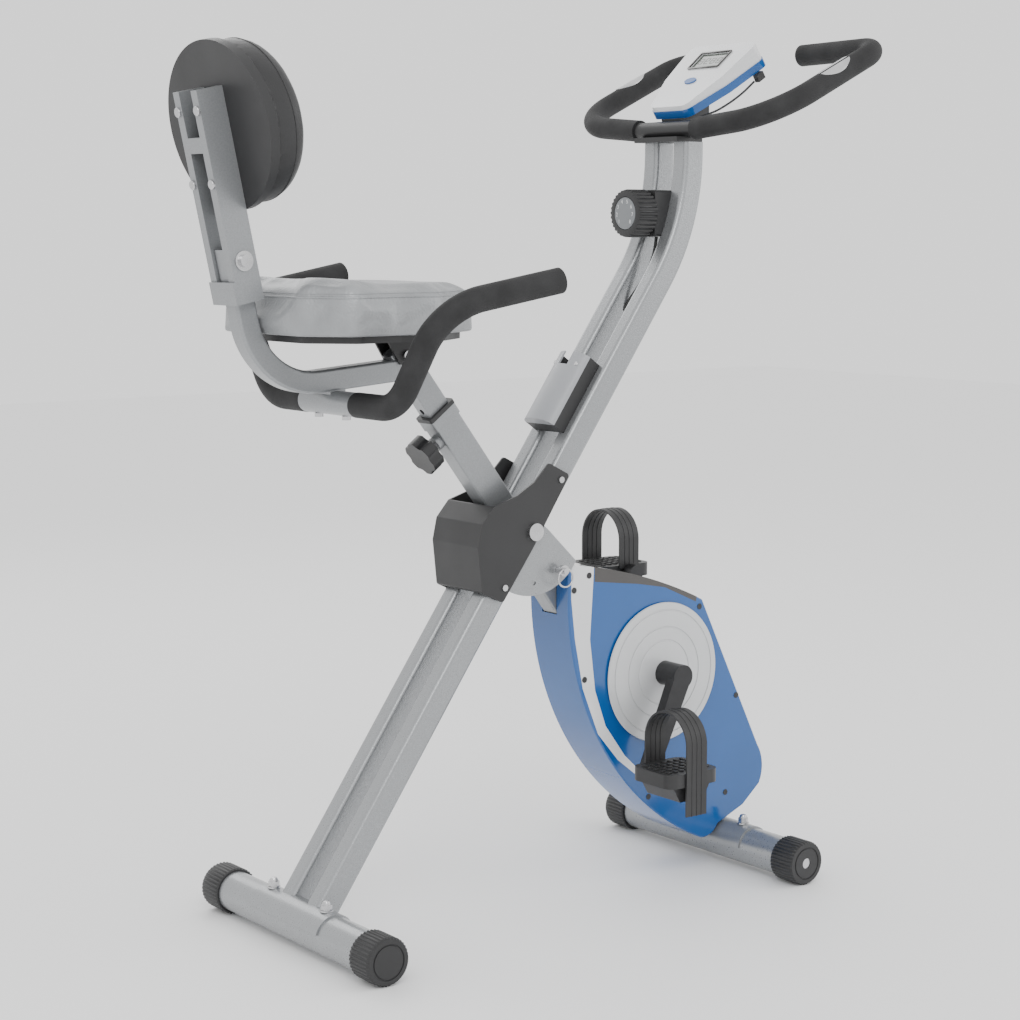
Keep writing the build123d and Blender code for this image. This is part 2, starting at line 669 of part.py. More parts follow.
bush_depth = 26.0
post_gap = 0.3
bush = extrude(tube_plane(sleeve_length) * RectangleRounded(tube_width + 5, tube_depth + 5, 4.0), amount=6)
bush += extrude(tube_plane(sleeve_length - bush_depth)
                * RectangleRounded(tube_width - 4, tube_depth - 4, 1.0), amount=bush_depth)
bush -= extrude(tube_plane(sleeve_length - bush_depth - 1)
                * RectangleRounded(post_width + 2 * post_gap, post_depth + 2 * post_gap, 2.3), amount=60)
nodes["sleeve_bush"] = bush

nodes["front_stabiliser"] = stabiliser(front_axis, cap_inner_face - 1.0, front_bolt_y)
roller_pin = 4.0
for side in (-1, 1):
    low = side * (cap_inner_face - 10)
    high = side * (cap_inner_face - 1)
    plug_disc = y_rod(*front_axis, stabiliser_radius - stabiliser_wall, min(low, high), max(low, high))
    nodes["front_stabiliser"] += plug_disc - y_rod(*front_axis, roller_pin, -300, 300)
front_fasteners = [stabiliser_bolt(front_axis, y) for y in (-front_bolt_y, front_bolt_y)]
roller = y_rod(*front_axis, cap_radius, cap_inner_face, half_length)
roller = chamfer(roller.edges().filter_by(GeomType.CIRCLE), 2.0)
roller -= y_rod(*front_axis, roller_pin + running_clearance, 0, 300)
roller -= y_rod(*front_axis, 8.0, half_length - 4, 300)
nodes["roller_left"] = roller
nodes["roller_right"] = mirror(roller, about=Plane.XZ)
roller_screw = y_rod(*front_axis, roller_pin, cap_inner_face - 14, half_length - 3)
roller_screw += y_rod(*front_axis, 7.5, half_length - 3.7, half_length - 1.2)
front_fasteners += [roller_screw, mirror(roller_screw, about=Plane.XZ)]
nodes["front_bolts"] = Compound(children=front_fasteners)

# ---------------------------------------------------------------- housing
top_rear = (69.0, 490.0)
top_front = (328.0, 414.0)


def housing_face():
    edges = [
        ThreePointArc(top_rear, (213.0, 459.0), top_front),
        Line(top_front, (447.0, 173.0)),
        ThreePointArc((447.0, 173.0), (457.5, 138.0), (451.0, 111.0)),
        Line((451.0, 111.0), (417.0, 82.0)),
        Line((417.0, 82.0), (364.0, 60.0)),
        ThreePointArc((364.0, 60.0), (351.0, 46.5), (331.0, 43.5)),
        ThreePointArc((331.0, 43.5), (163.0, 172.0), (69.0, 430.0)),
        Line((69.0, 430.0), top_rear),
    ]
    return make_face(Wire(edges))


def housing_inset(distance):
    """The housing's outline, moved in by a distance, with its corners rounded to suit."""
    face = housing_face()
    if distance:
        face = offset(face, amount=-distance, kind=Kind.INTERSECTION)
    return fillet(face.vertices(), housing_corner - distance)


shape_face = housing_inset(0.0)
inner_face = housing_inset(housing_wall)
tube_slot = extrude(tube_plane(-tube_reach) * Rectangle(tube_width + 2.5, tube_depth + 2.5),
                    amount=tube_reach + 20)
saddle_room = y_rod(*front_axis, saddle_radius + 2.0, -200, 200)
axle_hole = y_rod(crank_x, crank_z, arm_boss_radius + 3, -90, 90)
half_shells = {}
for side in (-1, 1):
    outer_low = -housing_half if side < 0 else 0.0
    shell = slab(shape_face, outer_low, outer_low + housing_half)
    outer_face = side * housing_half
    face_edges = shell.edges().filter_by_position(Axis.Y, outer_face - 0.1, outer_face + 0.1)
    shell = chamfer(face_edges, 2.0)
    inner_low = outer_low + housing_wall if side < 0 else 0.0
    shell -= slab(inner_face, inner_low, inner_low + housing_half - housing_wall)
    shell = shell - tube_slot - saddle_room - axle_hole
    half_shells[side] = shell

# Smoked strip along the top, and the white band at its rear with a stripe down each face: both are
# channels let into the two halves
skin = slab(shape_face, -housing_half, housing_half)
skin -= slab(housing_inset(skin_thickness), skin_thickness - housing_half, housing_half - skin_thickness)
window_face = polygon((117.0, 530.0), (117.0, 461.0), (200.0, 450.0), (252.0, 440.0),
                      (314.0, 412.0), (330.0, 480.0))
nodes["housing_window"] = skin & slab(window_face, -housing_half, housing_half)
band_face = polygon((74.0, 520.0), (117.0, 520.0), (116.0, 483.0), (109.0, 377.0), (119.0, 300.0),
                    (139.0, 245.0), (176.0, 195.0), (216.0, 158.0), (209.0, 154.0), (163.0, 190.0),
                    (125.0, 234.0), (96.0, 305.0), (81.0, 380.0), (74.0, 440.0))
nodes["housing_bands"] = skin & slab(band_face, -housing_half, housing_half)
for side, name in ((-1, "housing_right"), (1, "housing_left")):
    nodes[name] = half_shells[side] - nodes["housing_window"] - nodes["housing_bands"]

screw_places = [(106.7, 471.3), (79.0, 452.0), (99.0, 318.5), (321.0, 404.0), (398.3, 258.0), (378.4, 108.0),
                (223.0, 125.0)]
plugs = []
for x, z in screw_places:
    plug_screw = y_rod(x, z, 4.5, -housing_half - plug_proud, -housing_half + 1.0)
    plugs.append(plug_screw)
    for name in ("housing_right", "housing_bands"):
        nodes[name] -= plug_screw
nodes["housing_screws"] = Compound(children=plugs)

# ---------------------------------------------------------------- drive
def ring(x, z, outer, inner, low, high):
    return y_rod(x, z, outer, low, high) - y_rod(x, z, inner, low, high)


bearings = [
    ring(crank_x, crank_z, bearing_radius, axle_radius + running_clearance, shell_low, shell_low + 9),
    ring(crank_x, crank_z, bearing_radius, axle_radius + running_clearance, shell_high - 9, shell_high),
    ring(flywheel_x, flywheel_z, 11.0, flywheel_axle_radius + running_clearance, -10, -3),
    ring(flywheel_x, flywheel_z, 11.0, flywheel_axle_radius + running_clearance, 3, 10),
]
nodes["bearings"] = Compound(children=bearings)

disc_face_y = housing_half + disc_gap
boss_start = disc_face_y - 0.5
nodes["crank_axle"] = y_rod(crank_x, crank_z, axle_radius, -arm_outer + 6, arm_outer - 6)

belt_gap = side_gap
belt_half = 3.7
groove_half = 4.0
rim_low = pulley_y - pulley_width / 2
rim_high = pulley_y + pulley_width / 2
groove_low = pulley_y - groove_half
groove_high = pulley_y + groove_half
drive_pulley = y_rod(crank_x, crank_z, pulley_radius + 3.4, rim_low, rim_high)
drive_pulley -= ring(crank_x, crank_z, pulley_radius + 10, pulley_radius, groove_low, groove_high)
drive_pulley -= ring(crank_x, crank_z, pulley_radius - 8, 24.0, pulley_y + 2, pulley_y + 6)
drive_pulley -= ring(crank_x, crank_z, pulley_radius - 8, 24.0, pulley_y - 6, pulley_y - 2)
drive_pulley -= y_rod(crank_x, crank_z, axle_radius, -60, 60)
nodes["drive_pulley"] = drive_pulley

flywheel = y_rod(flywheel_x, flywheel_z, flywheel_radius, -41, -19.5)
flywheel -= ring(flywheel_x, flywheel_z, flywheel_radius - 14, 20.0, -42, -34)
flywheel -= y_rod(flywheel_x, flywheel_z, flywheel_axle_radius, -60, 60)
nodes["flywheel"] = flywheel
wheel_axle = y_rod(flywheel_x, flywheel_z, flywheel_axle_radius, -42.4, 36)
small_pulley = y_rod(flywheel_x, flywheel_z, small_pulley_radius + 3.4, rim_low, rim_high)
small_pulley -= ring(flywheel_x, flywheel_z, small_pulley_radius + 10, small_pulley_radius,
                     groove_low, groove_high)
nodes["flywheel_axle"] = wheel_axle + small_pulley



def belt_outline(lift):
    """Taut line round both pulleys, this far out from their faces."""
    large = Pos(crank_x, crank_z) * Circle(pulley_radius + lift)
    small = Pos(flywheel_x, flywheel_z) * Circle(small_pulley_radius + lift)
    return make_hull((large + small).edges())


belt_face = belt_outline(belt_gap + belt_thickness) - belt_outline(belt_gap)
nodes["drive_belt"] = slab(belt_face, pulley_y - belt_half, pulley_y + belt_half)

# Magnet arm, drawn closed on the wheel and then swung open about its pivot
magnet_open = 8.0
magnet_inner = flywheel_radius + magnet_gap
sector = polygon((0, 0), *[(200 * math.cos(math.radians(a)), 200 * math.sin(math.radians(a)))
                           for a in (150, 180, 210, 235)])
arc_face = (Circle(magnet_inner + magnet_depth) - Circle(magnet_inner)) & sector
eye_x = magnet_x - flywheel_x
eye_z = magnet_z - flywheel_z
arm_face = arc_face + Pos(eye_x, eye_z) * Circle(8.5) - Pos(eye_x, eye_z) * Circle(
    magnet_pivot_radius + running_clearance)
arm_face = arm_face - Circle(magnet_inner)
magnet_arm = slab(Pos(flywheel_x, flywheel_z) * arm_face, -39, -21)
nodes["magnet_arm"] = magnet_arm.rotate(Axis((magnet_x, 0, magnet_z), (0, 1, 0)), magnet_open)

# ---------------------------------------------------------------- cranks and pedals
arm_direction = (math.cos(math.radians(crank_angle)), math.sin(math.radians(crank_angle)))
arm_end_radius = 13.0


def crank_arm(side):
    """side is -1 for the right-hand arm and 1 for the left-hand one, which points the other way."""
    sign = -side
    end_x = crank_x + sign * arm_direction[0] * crank_length
    end_z = crank_z + sign * arm_direction[1] * crank_length
    low = arm_inner if side > 0 else -arm_outer
    face = make_hull((Pos(crank_x, crank_z) * Circle(arm_boss_radius - 2)
                      + Pos(end_x, end_z) * Circle(arm_end_radius)).edges())
    arm = slab(face, low, low + arm_outer - arm_inner)
    boss_low = boss_start if side > 0 else -arm_outer
    arm += y_rod(crank_x, crank_z, arm_boss_radius, boss_low, boss_low + arm_outer - boss_start)
    arm -= y_rod(crank_x, crank_z, axle_radius, -arm_outer + 6, arm_outer - 6)
    arm -= y_rod(end_x, end_z, spindle_radius, -200, 200)
    return arm, end_x, end_z


def pedal_parts(side, end_x, end_z):
    """Pedal body, strap and spindle of one side."""
    inner = arm_outer + 5.0
    outer = inner + pedal_width
    middle = (inner + outer) / 2
    top = pedal_thickness / 2 + 1
    tread_place = Pos(end_x, side * middle, end_z + top - pedal_thickness / 2)
    tread = tread_place * Box(pedal_length, pedal_width, pedal_thickness)
    tread = fillet(tread.edges().filter_by(Axis.Z), 16.0)
    keel_face = polygon((end_x - 36, end_z - 8), (end_x + 36, end_z - 8), (end_x + 22, end_z - 32),
                        (end_x - 22, end_z - 32))
    keel_low = inner + 8 if side > 0 else -outer + 8
    keel = slab(keel_face, keel_low, keel_low + pedal_width - 16)
    body = tread + keel
    bore_low = inner - 1 if side > 0 else -outer + 12
    body -= y_rod(end_x, end_z, spindle_radius + running_clearance, bore_low, bore_low + pedal_width - 11)
    spindle_low = arm_inner if side > 0 else -outer + 14
    spindle = y_rod(end_x, end_z, spindle_radius, spindle_low, spindle_low + outer - 14 - arm_inner)
    collar_low = arm_outer if side > 0 else -arm_outer - 1.5
    spindle += y_rod(end_x, end_z, 8.0, collar_low, collar_low + 1.5)

    reach = pedal_width / 2 + strap_thickness
    arch_base = end_z + top + 38
    plane = Plane(origin=(end_x - strap_width / 2, side * middle, 0), x_dir=(0, 1, 0), z_dir=(1, 0, 0))
    outer_end = end_z - strap_tail
    inner_end = end_z + spindle_radius + 1.5
    strap_face = Pos(0, arch_base) * (Ellipse(reach, strap_height - 38)
                                      - Ellipse(reach - strap_thickness, strap_height - 38 - strap_thickness))
    strap_face -= Pos(0, arch_base - 100) * Rectangle(400, 200)
    for leg_side, leg_end in ((side, outer_end), (-side, inner_end)):
        leg = Pos(leg_side * (reach - strap_thickness / 2), (leg_end + arch_base) / 2)
        strap_face += leg * Rectangle(strap_thickness, arch_base - leg_end)
    strap = extrude(plane * strap_face, amount=strap_width)
    return body, strap, spindle


arms = []
spindles = []
for side, name in ((-1, "right"), (1, "left")):
    arm, end_x, end_z = crank_arm(side)
    arms.append(arm)
    body, strap, spindle = pedal_parts(side, end_x, end_z)
    nodes["pedal_" + name] = body
    nodes["pedal_strap_" + name] = strap
    spindles.append(spindle)
nodes["crank_arms"] = Compound(children=arms + spindles)

crank_disc = ring(crank_x, crank_z, disc_radius, arm_boss_radius, disc_face_y, disc_face_y + disc_thickness)
crank_disc += ring(crank_x, crank_z, disc_radius * 0.34, arm_boss_radius,
                   disc_face_y, disc_face_y + disc_thickness + 1.5)
nodes["crank_discs"] = Compound(children=[crank_disc, mirror(crank_disc, about=Plane.XZ)])

# ---------------------------------------------------------------- seat
post = hollow(tube_plane(post_bottom), post_width, post_depth, 2.0, post_wall, post_top - post_bottom)
hole_count = round((post_drop + post_rise) / post_pin_spacing) + 1
for index in range(hole_count):
    station = knob_station - post_rise + index * post_pin_spacing
    hx, hz = on_tube(station)
    hole_plane = Plane(origin=(hx, 0, hz), x_dir=(0, 1, 0), z_dir=(tube_back[0], 0, tube_back[1]))
    post -= along(hole_plane, seat_pin_radius + 0.4, 5, 60)
seat_bolt_x, seat_bolt_z = on_tube(post_top - 12)
seat_bolt_radius = 4.0
post -= y_rod(seat_bolt_x, seat_bolt_z, seat_bolt_radius, -60, 60)
nodes["seat_post"] = post

post_solid = extrude(tube_plane(post_bottom) * RectangleRounded(post_width, post_depth, 2.0),
                     amount=post_top - post_bottom)
frame_top = on_backrest(17.0)
frame_join_x, frame_join_z = on_tube(295.0)
slope_run = math.tan(math.radians(seat_frame_slope))
# Corner of the bent tube: where the line down the backrest meets the line back from the post
back_run = math.tan(lean)
back_offset = frame_join_x - backrest_x - back_run * backrest_z
corner_z = (frame_join_z - slope_run * back_offset) / (1 + slope_run * back_run)
corner_x = backrest_x + back_run * (backrest_z - corner_z)
frame_path = FilletPolyline([(frame_top[0], 0, frame_top[1]), (corner_x, 0, corner_z),
                             (frame_join_x, 0, frame_join_z)], radius=seat_frame_bend)
frame_outer = swept(frame_path, RectangleRounded(seat_frame_width, seat_frame_depth, 4.0))
frame_inner = swept(frame_path, RectangleRounded(seat_frame_width - 2 * seat_frame_wall,
                                                 seat_frame_depth - 2 * seat_frame_wall, 2.0))
backrest_bolt_radius = 5.0
seat_frame = frame_outer - frame_inner - post_solid
seat_frame -= y_rod(backrest_x, backrest_z, backrest_bolt_radius, -60, 60)
seat_frame = seat_frame.solids().sort_by(SortBy.VOLUME)[-1]
clamp_foot = block((grip_x - 12, grip_x + 12), (-14, 14), (grip_z + 8, corner_z + 12)) - frame_inner
clamp = clamp_foot + y_rod(grip_x, grip_z, grip_clamp_radius, -grip_clamp_half, grip_clamp_half)
clamp -= y_rod(grip_x, grip_z, bar_radius, -grip_clamp_half, grip_clamp_half)
clamp_bolt_y = 34.0
for y in (-clamp_bolt_y, clamp_bolt_y):
    clamp -= Pos(grip_x, y, grip_z - 15) * Cylinder(3.0, 12)
nodes["seat_frame"] = seat_frame + clamp


def seat_outline(inset):
    front = seat_rear_x + seat_length
    half = seat_half_width - inset
    rear = seat_rear_x + inset
    nose = front - inset
    left = [(rear, half * 0.62), (rear + 50, half), (rear + 120, half * 0.96), (rear + 185, half * 0.98),
            (nose - 32, half * 0.66), (nose, half * 0.34)]
    right = [(x, -y) for x, y in reversed(left)]
    face = polygon(*left, *right)
    return fillet(face.vertices(), 20.0)


cushion = extrude(Plane.XY.offset(seat_bottom_z) * seat_outline(0.0), amount=seat_top_z - seat_bottom_z)
cushion = fillet(cushion.edges().group_by(Axis.Z)[-1], 16.0)
nodes["seat_cushion"] = cushion
board = extrude(Plane.XY.offset(seat_bottom_z - seat_board) * seat_outline(14.0), amount=seat_board)
ear_gap = seat_frame_width / 2
ear_top = seat_bottom_z - seat_board + 1
ear_face = polygon((seat_bolt_x - 34, ear_top), (seat_bolt_x + 30, ear_top),
                   (seat_bolt_x + 11, seat_bolt_z - 12), (seat_bolt_x - 11, seat_bolt_z - 12))
ear = slab(ear_face, ear_gap, ear_gap + 3.5)
ear -= y_rod(seat_bolt_x, seat_bolt_z, seat_bolt_radius, -60, 60)
nodes["seat_board"] = board + both_sides(ear)

grip_tip = (-120.5, 259.6, 903.2)
grip_points = [grip_tip, (-295.0, 248.0, 872.0), (grip_x, 154.0, grip_z), (grip_x, 0.0, grip_z)]
grip_radii = [75.0, 68.0]
left_bar = FilletPolyline(grip_points, radius=grip_radii)
half_bar = swept(left_bar, Circle(bar_radius)) - swept(left_bar, Circle(bar_radius - bar_wall))
grip_bar = both_sides(half_bar)
nodes["grip_bar"] = grip_bar
foam_points = grip_points[:3] + [(grip_x, grip_clamp_half + 0.5, grip_z)]
seat_foam = foam(foam_points, grip_radii, seat_grip_radius)
nodes["seat_grips"] = Compound(children=[seat_foam, mirror(seat_foam, about=Plane.XZ)])

seat_bolts = [y_rod(seat_bolt_x, seat_bolt_z, seat_bolt_radius, -ear_gap - 9, ear_gap + 9)]
for side in (-1, 1):
    low = ear_gap + 3.5 if side > 0 else -ear_gap - 3.5 - 5
    seat_bolts[0] += y_rod(seat_bolt_x, seat_bolt_z, 7.0, low, low + 5)
for y in (-clamp_bolt_y, clamp_bolt_y):
    bolt = Pos(grip_x, y, grip_z - grip_clamp_radius - 2.5) * Cylinder(6.0, 5.0)
    bolt += Pos(grip_x, y, grip_z - 16.6) * Cylinder(3.0, 6.8)
    seat_bolts.append(bolt)
bars_inner = seat_frame_width / 2 + 0.5
bars_outer = bars_inner + bar_plate
pivot = y_rod(backrest_x, backrest_z, backrest_bolt_radius, -bars_outer - 3, bars_outer + 3)
for side in (-1, 1):
    low = bars_outer + side_gap if side > 0 else -bars_outer - side_gap - 2
    pivot += y_rod(backrest_x, backrest_z, 13.0, low, low + 2)
    low = bars_outer + side_gap + 2 if side > 0 else -bars_outer - side_gap - 7
    pivot += y_rod(backrest_x, backrest_z, 8.0, low, low + 5)
seat_bolts.append(pivot)
nodes["seat_bolts"] = Compound(children=seat_bolts)

# ---------------------------------------------------------------- backrest
bars_face = polygon(on_backrest(-bars_below, -bar_depth / 2), on_backrest(-bars_below, bar_depth / 2),
                    on_backrest(bars_above, bar_depth / 2), on_backrest(bars_above, -bar_depth / 2))
one_bar = slab(bars_face, bars_inner, bars_outer)
bars = both_sides(one_bar)
cross_face = polygon(on_backrest(142, -bar_depth / 2), on_backrest(142, -bar_depth / 2 + 6),
                     on_backrest(162, -bar_depth / 2 + 6), on_backrest(162, -bar_depth / 2))
bars += slab(cross_face, -bars_inner, bars_inner)
stop_face = polygon(on_backrest(-bars_below, -bar_depth / 2 - 3.5), on_backrest(-bars_below, -bar_depth / 2),
                    on_backrest(-24, -bar_depth / 2), on_backrest(-24, -bar_depth / 2 - 3.5))
bars += slab(stop_face, -bars_outer, bars_outer)
bars -= y_rod(backrest_x, backrest_z, backrest_bolt_radius + running_clearance, -60, 60)
shell_plane = backrest_plane(pad_centre, bar_depth / 2 + 0.2)
backrest_shell = extrude(shell_plane * Ellipse(pad_half_width, pad_half_height), amount=shell_thickness)
pad_plane = backrest_plane(pad_centre, bar_depth / 2 + 0.2 + shell_thickness)
backrest_pad = extrude(pad_plane * Ellipse(pad_half_width - 4, pad_half_height - 4), amount=pad_thickness)
front_edges = backrest_pad.edges().sort_by(Axis(pad_plane.origin, pad_plane.z_dir))[-1]
backrest_pad = fillet(front_edges, 22.0)
pad_bolts = []
for up in (pad_bolt_low, pad_bolt_high):
    for y in (-pad_bolt_y, pad_bolt_y):
        x, z = on_backrest(up, -bar_depth / 2)
        plane = Plane(origin=(x, y, z), x_dir=(0, 1, 0), z_dir=(math.cos(lean), 0, math.sin(lean)))
        shaft = along(plane, 3.0, 0, bar_depth + shell_thickness - 3)
        head = along(plane, 6.5, -4.0, 0)
        head = fillet(head.edges().sort_by(Axis(plane.origin, plane.z_dir))[0], 2.0)
        pad_bolts.append(shaft + head)
        bars -= along(plane, 3.0, -1, bar_depth + 1)
        backrest_shell -= along(plane, 3.0, bar_depth - 1, bar_depth + shell_thickness - 3)
nodes["backrest_bars"] = bars
nodes["backrest_shell"] = backrest_shell
nodes["backrest_pad"] = backrest_pad
nodes["backrest_bolts"] = Compound(children=pad_bolts)

# ---------------------------------------------------------------- seat pin and its knob, and the lock pin
pin_tip = post_depth / 2 + 0.5
knob_low = boss_top + 11
nodes["seat_pin"] = along(knob_plane, seat_pin_radius, pin_tip, knob_low + 12)
knob_face = Circle(knob_radius)
scallop_centre = 1.32 * knob_radius
for index in range(6):
    angle = math.radians(index * 60)
    scallop = Pos(scallop_centre * math.cos(angle), scallop_centre * math.sin(angle))
    knob_face -= scallop * Circle(knob_radius * 0.45)
seat_knob = extrude(knob_plane.offset(knob_low) * knob_face, amount=20)
seat_knob += along(knob_plane, 9.0, knob_low - 2, knob_low)
seat_knob -= along(knob_plane, seat_pin_radius + running_clearance,
                   knob_low - 3, knob_low + 12 + running_clearance)
nodes["seat_knob"] = seat_knob

lock_x, lock_z = on_tube(-lock_distance)
plate_outer = rail_outer + plate_thickness
lock_tip = -tube_width / 2 - 0.5
head_y = -plate_outer - lock_travel - 0.5
lock_pin = y_rod(lock_x, lock_z, lock_pin_radius, head_y - 1, lock_tip)
lock_pin += y_rod(lock_x, lock_z, 8.0, head_y - 6.0, head_y)
lock_pin += y_rod(lock_x, lock_z, 4.5, head_y - 11.0, head_y - 5.0)
ring_centre = Pos(lock_x, head_y - 8.5, lock_z - 10)
nodes["lock_pin"] = lock_pin + ring_centre * Torus(13.0, 1.3).rotate(Axis.X, 90)

# ---------------------------------------------------------------- write the pieces
os.makedirs("parts", exist_ok=True)
for name, shape in nodes.items():
    export_step(shape, "parts/" + name + ".step")
print(len(nodes), "pieces")
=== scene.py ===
"""Looks of the folding exercise bike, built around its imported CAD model."""

import bmesh
import bpy
import json
import math
from mathutils import Matrix, Vector


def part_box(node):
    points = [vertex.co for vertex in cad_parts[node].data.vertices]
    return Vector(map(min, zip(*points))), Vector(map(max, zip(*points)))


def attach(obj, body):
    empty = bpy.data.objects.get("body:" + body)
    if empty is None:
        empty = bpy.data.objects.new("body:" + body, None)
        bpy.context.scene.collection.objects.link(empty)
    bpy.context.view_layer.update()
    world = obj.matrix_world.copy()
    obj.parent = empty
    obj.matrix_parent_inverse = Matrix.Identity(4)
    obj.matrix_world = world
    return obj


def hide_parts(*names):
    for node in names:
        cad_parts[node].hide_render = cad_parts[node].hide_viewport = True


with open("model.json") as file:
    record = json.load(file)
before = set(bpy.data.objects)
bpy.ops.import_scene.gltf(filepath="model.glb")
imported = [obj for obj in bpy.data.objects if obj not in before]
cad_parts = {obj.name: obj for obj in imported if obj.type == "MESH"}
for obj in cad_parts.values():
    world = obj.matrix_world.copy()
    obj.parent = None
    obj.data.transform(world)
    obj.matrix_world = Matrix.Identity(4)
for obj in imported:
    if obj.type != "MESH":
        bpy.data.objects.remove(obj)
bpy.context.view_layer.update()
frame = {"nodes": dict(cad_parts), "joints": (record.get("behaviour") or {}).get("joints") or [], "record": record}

TURN = 2 * math.pi
joints = {joint["name"]: joint for joint in frame["joints"]}


# ---------------------------------------------------------------- shader groups
def link(tree, source, target):
    tree.links.new(source, target)


def make_group(name, inputs, outputs):
    """An empty node group with named float inputs and named outputs."""
    tree = bpy.data.node_groups.new(name, "ShaderNodeTree")
    for label, value in inputs:
        socket = tree.interface.new_socket(label, in_out="INPUT", socket_type="NodeSocketFloat")
        socket.default_value = value
    for label, kind in outputs:
        tree.interface.new_socket(label, in_out="OUTPUT", socket_type=kind)
    way_in = tree.nodes.new("NodeGroupInput")
    way_out = tree.nodes.new("NodeGroupOutput")
    coordinates = tree.nodes.new("ShaderNodeTexCoord")
    return tree, way_in, way_out, coordinates.outputs["Object"]


def noise(tree, vector, scale, detail=3.0):
    node = tree.nodes.new("ShaderNodeTexNoise")
    node.inputs["Detail"].default_value = detail
    link(tree, vector, node.inputs["Vector"])
    if isinstance(scale, (int, float)):
        node.inputs["Scale"].default_value = scale
    else:
        link(tree, scale, node.inputs["Scale"])
    return node.outputs["Fac"]


def cells(tree, vector, scale, feature="F1"):
    node = tree.nodes.new("ShaderNodeTexVoronoi")
    node.feature = feature
    link(tree, vector, node.inputs["Vector"])
    if isinstance(scale, (int, float)):
        node.inputs["Scale"].default_value = scale
    else:
        link(tree, scale, node.inputs["Scale"])
    return node.outputs["Distance"]


def reshape(tree, value, low, high, out_low=0.0, out_high=1.0):
    node = tree.nodes.new("ShaderNodeMapRange")
    node.inputs["From Min"].default_value = low
    node.inputs["From Max"].default_value = high
    node.inputs["To Min"].default_value = out_low
    node.inputs["To Max"].default_value = out_high
    link(tree, value, node.inputs["Value"])
    return node.outputs["Result"]


def combine(tree, operation, first, second):
    node = tree.nodes.new("ShaderNodeMath")
    node.operation = operation
    for socket, value in zip(node.inputs, (first, second)):
        if isinstance(value, (int, float)):
            socket.default_value = value
        else:
            link(tree, value, socket)
    return node.outputs["Value"]


def hammertone_group():
    """Shallow round dents of hammered enamel, and a mottle that is partly the paint's own and partly painted shade
    in the dents.
    """
    tree, way_in, way_out, place = make_group(
        "hammertone", [("Scale", 200.0)], [("Height", "NodeSocketFloat"), ("MottleAndDentShade", "NodeSocketFloat")])
    dents = cells(tree, place, way_in.outputs["Scale"], "SMOOTH_F1")
    swirl = noise(tree, place, 420.0, 3.0)
    link(tree, combine(tree, "ADD", dents, combine(tree, "MULTIPLY", swirl, 0.5)), way_out.inputs["Height"])
    # The mottle is built from the dents, so it darkens the dent hollows: partly the paint's mottle, partly painted
    # shade.
    link(tree, reshape(tree, combine(tree, "ADD", dents, swirl), 0.5, 1.2), way_out.inputs["MottleAndDentShade"])
    return tree


def grain_group():
    """Fine moulded grain, with broad faint shading and sparse scuffs."""
    tree, way_in, way_out, place = make_group(
        "moulded_grain", [("Scale", 900.0)],
        [("Height", "NodeSocketFloat"), ("Shade", "NodeSocketFloat"), ("Scuff", "NodeSocketFloat")])
    link(tree, noise(tree, place, way_in.outputs["Scale"], 2.0), way_out.inputs["Height"])
    link(tree, reshape(tree, noise(tree, place, 9.0, 5.0), 0.35, 0.65), way_out.inputs["Shade"])
    streaks = noise(tree, place, 60.0, 8.0)
    link(tree, reshape(tree, streaks, 0.60, 0.72), way_out.inputs["Scuff"])
    return tree


def foam_group():
    """Open pores of a rubber foam sleeve."""
    tree, way_in, way_out, place = make_group(
        "foam_pores", [("Scale", 700.0)], [("Height", "NodeSocketFloat"), ("Shade", "NodeSocketFloat")])
    pores = cells(tree, place, way_in.outputs["Scale"])
    coarse = cells(tree, place, 260.0)
    link(tree, combine(tree, "ADD", pores, combine(tree, "MULTIPLY", coarse, 0.6)), way_out.inputs["Height"])
    link(tree, reshape(tree, noise(tree, place, 30.0, 4.0), 0.3, 0.7), way_out.inputs["Shade"])
    return tree


def vinyl_group():
    """Pebbled vinyl with soft creases, and painted shade in the crease troughs."""
    tree, way_in, way_out, place = make_group(
        "pebbled_vinyl", [("Scale", 420.0)],
        [("Height", "NodeSocketFloat"), ("Shade", "NodeSocketFloat"), ("Pebble", "NodeSocketFloat")])
    pebbles = cells(tree, place, way_in.outputs["Scale"], "SMOOTH_F1")
    creases = noise(tree, place, 22.0, 5.0)
    height = combine(tree, "SUBTRACT", combine(tree, "MULTIPLY", creases, 0.5), pebbles)
    link(tree, height, way_out.inputs["Height"])
    # Shade is read from the creases, so it is painted shade in the crease troughs.
    link(tree, reshape(tree, creases, 0.3, 0.7), way_out.inputs["Shade"])
    link(tree, reshape(tree, pebbles, 0.1, 0.5), way_out.inputs["Pebble"])
    return tree


def brushed_group():
    """Fine turning or brushing lines and a slight tarnish."""
    tree, way_in, way_out, place = make_group(
        "brushed_metal", [("Scale", 300.0)], [("Height", "NodeSocketFloat"), ("Shade", "NodeSocketFloat")])
    stretch = tree.nodes.new("ShaderNodeMapping")
    stretch.inputs["Scale"].default_value = (1.0, 6.0, 1.0)
    link(tree, place, stretch.inputs["Vector"])
    link(tree, noise(tree, stretch.outputs["Vector"], way_in.outputs["Scale"], 2.0), way_out.inputs["Height"])
    link(tree, reshape(tree, noise(tree, place, 40.0, 5.0), 0.3, 0.7), way_out.inputs["Shade"])
    return tree


groups = {
    "hammer": hammertone_group(),
    "grain": grain_group(),
    "foam": foam_group(),
    "vinyl": vinyl_group(),
    "brushed": brushed_group(),
}


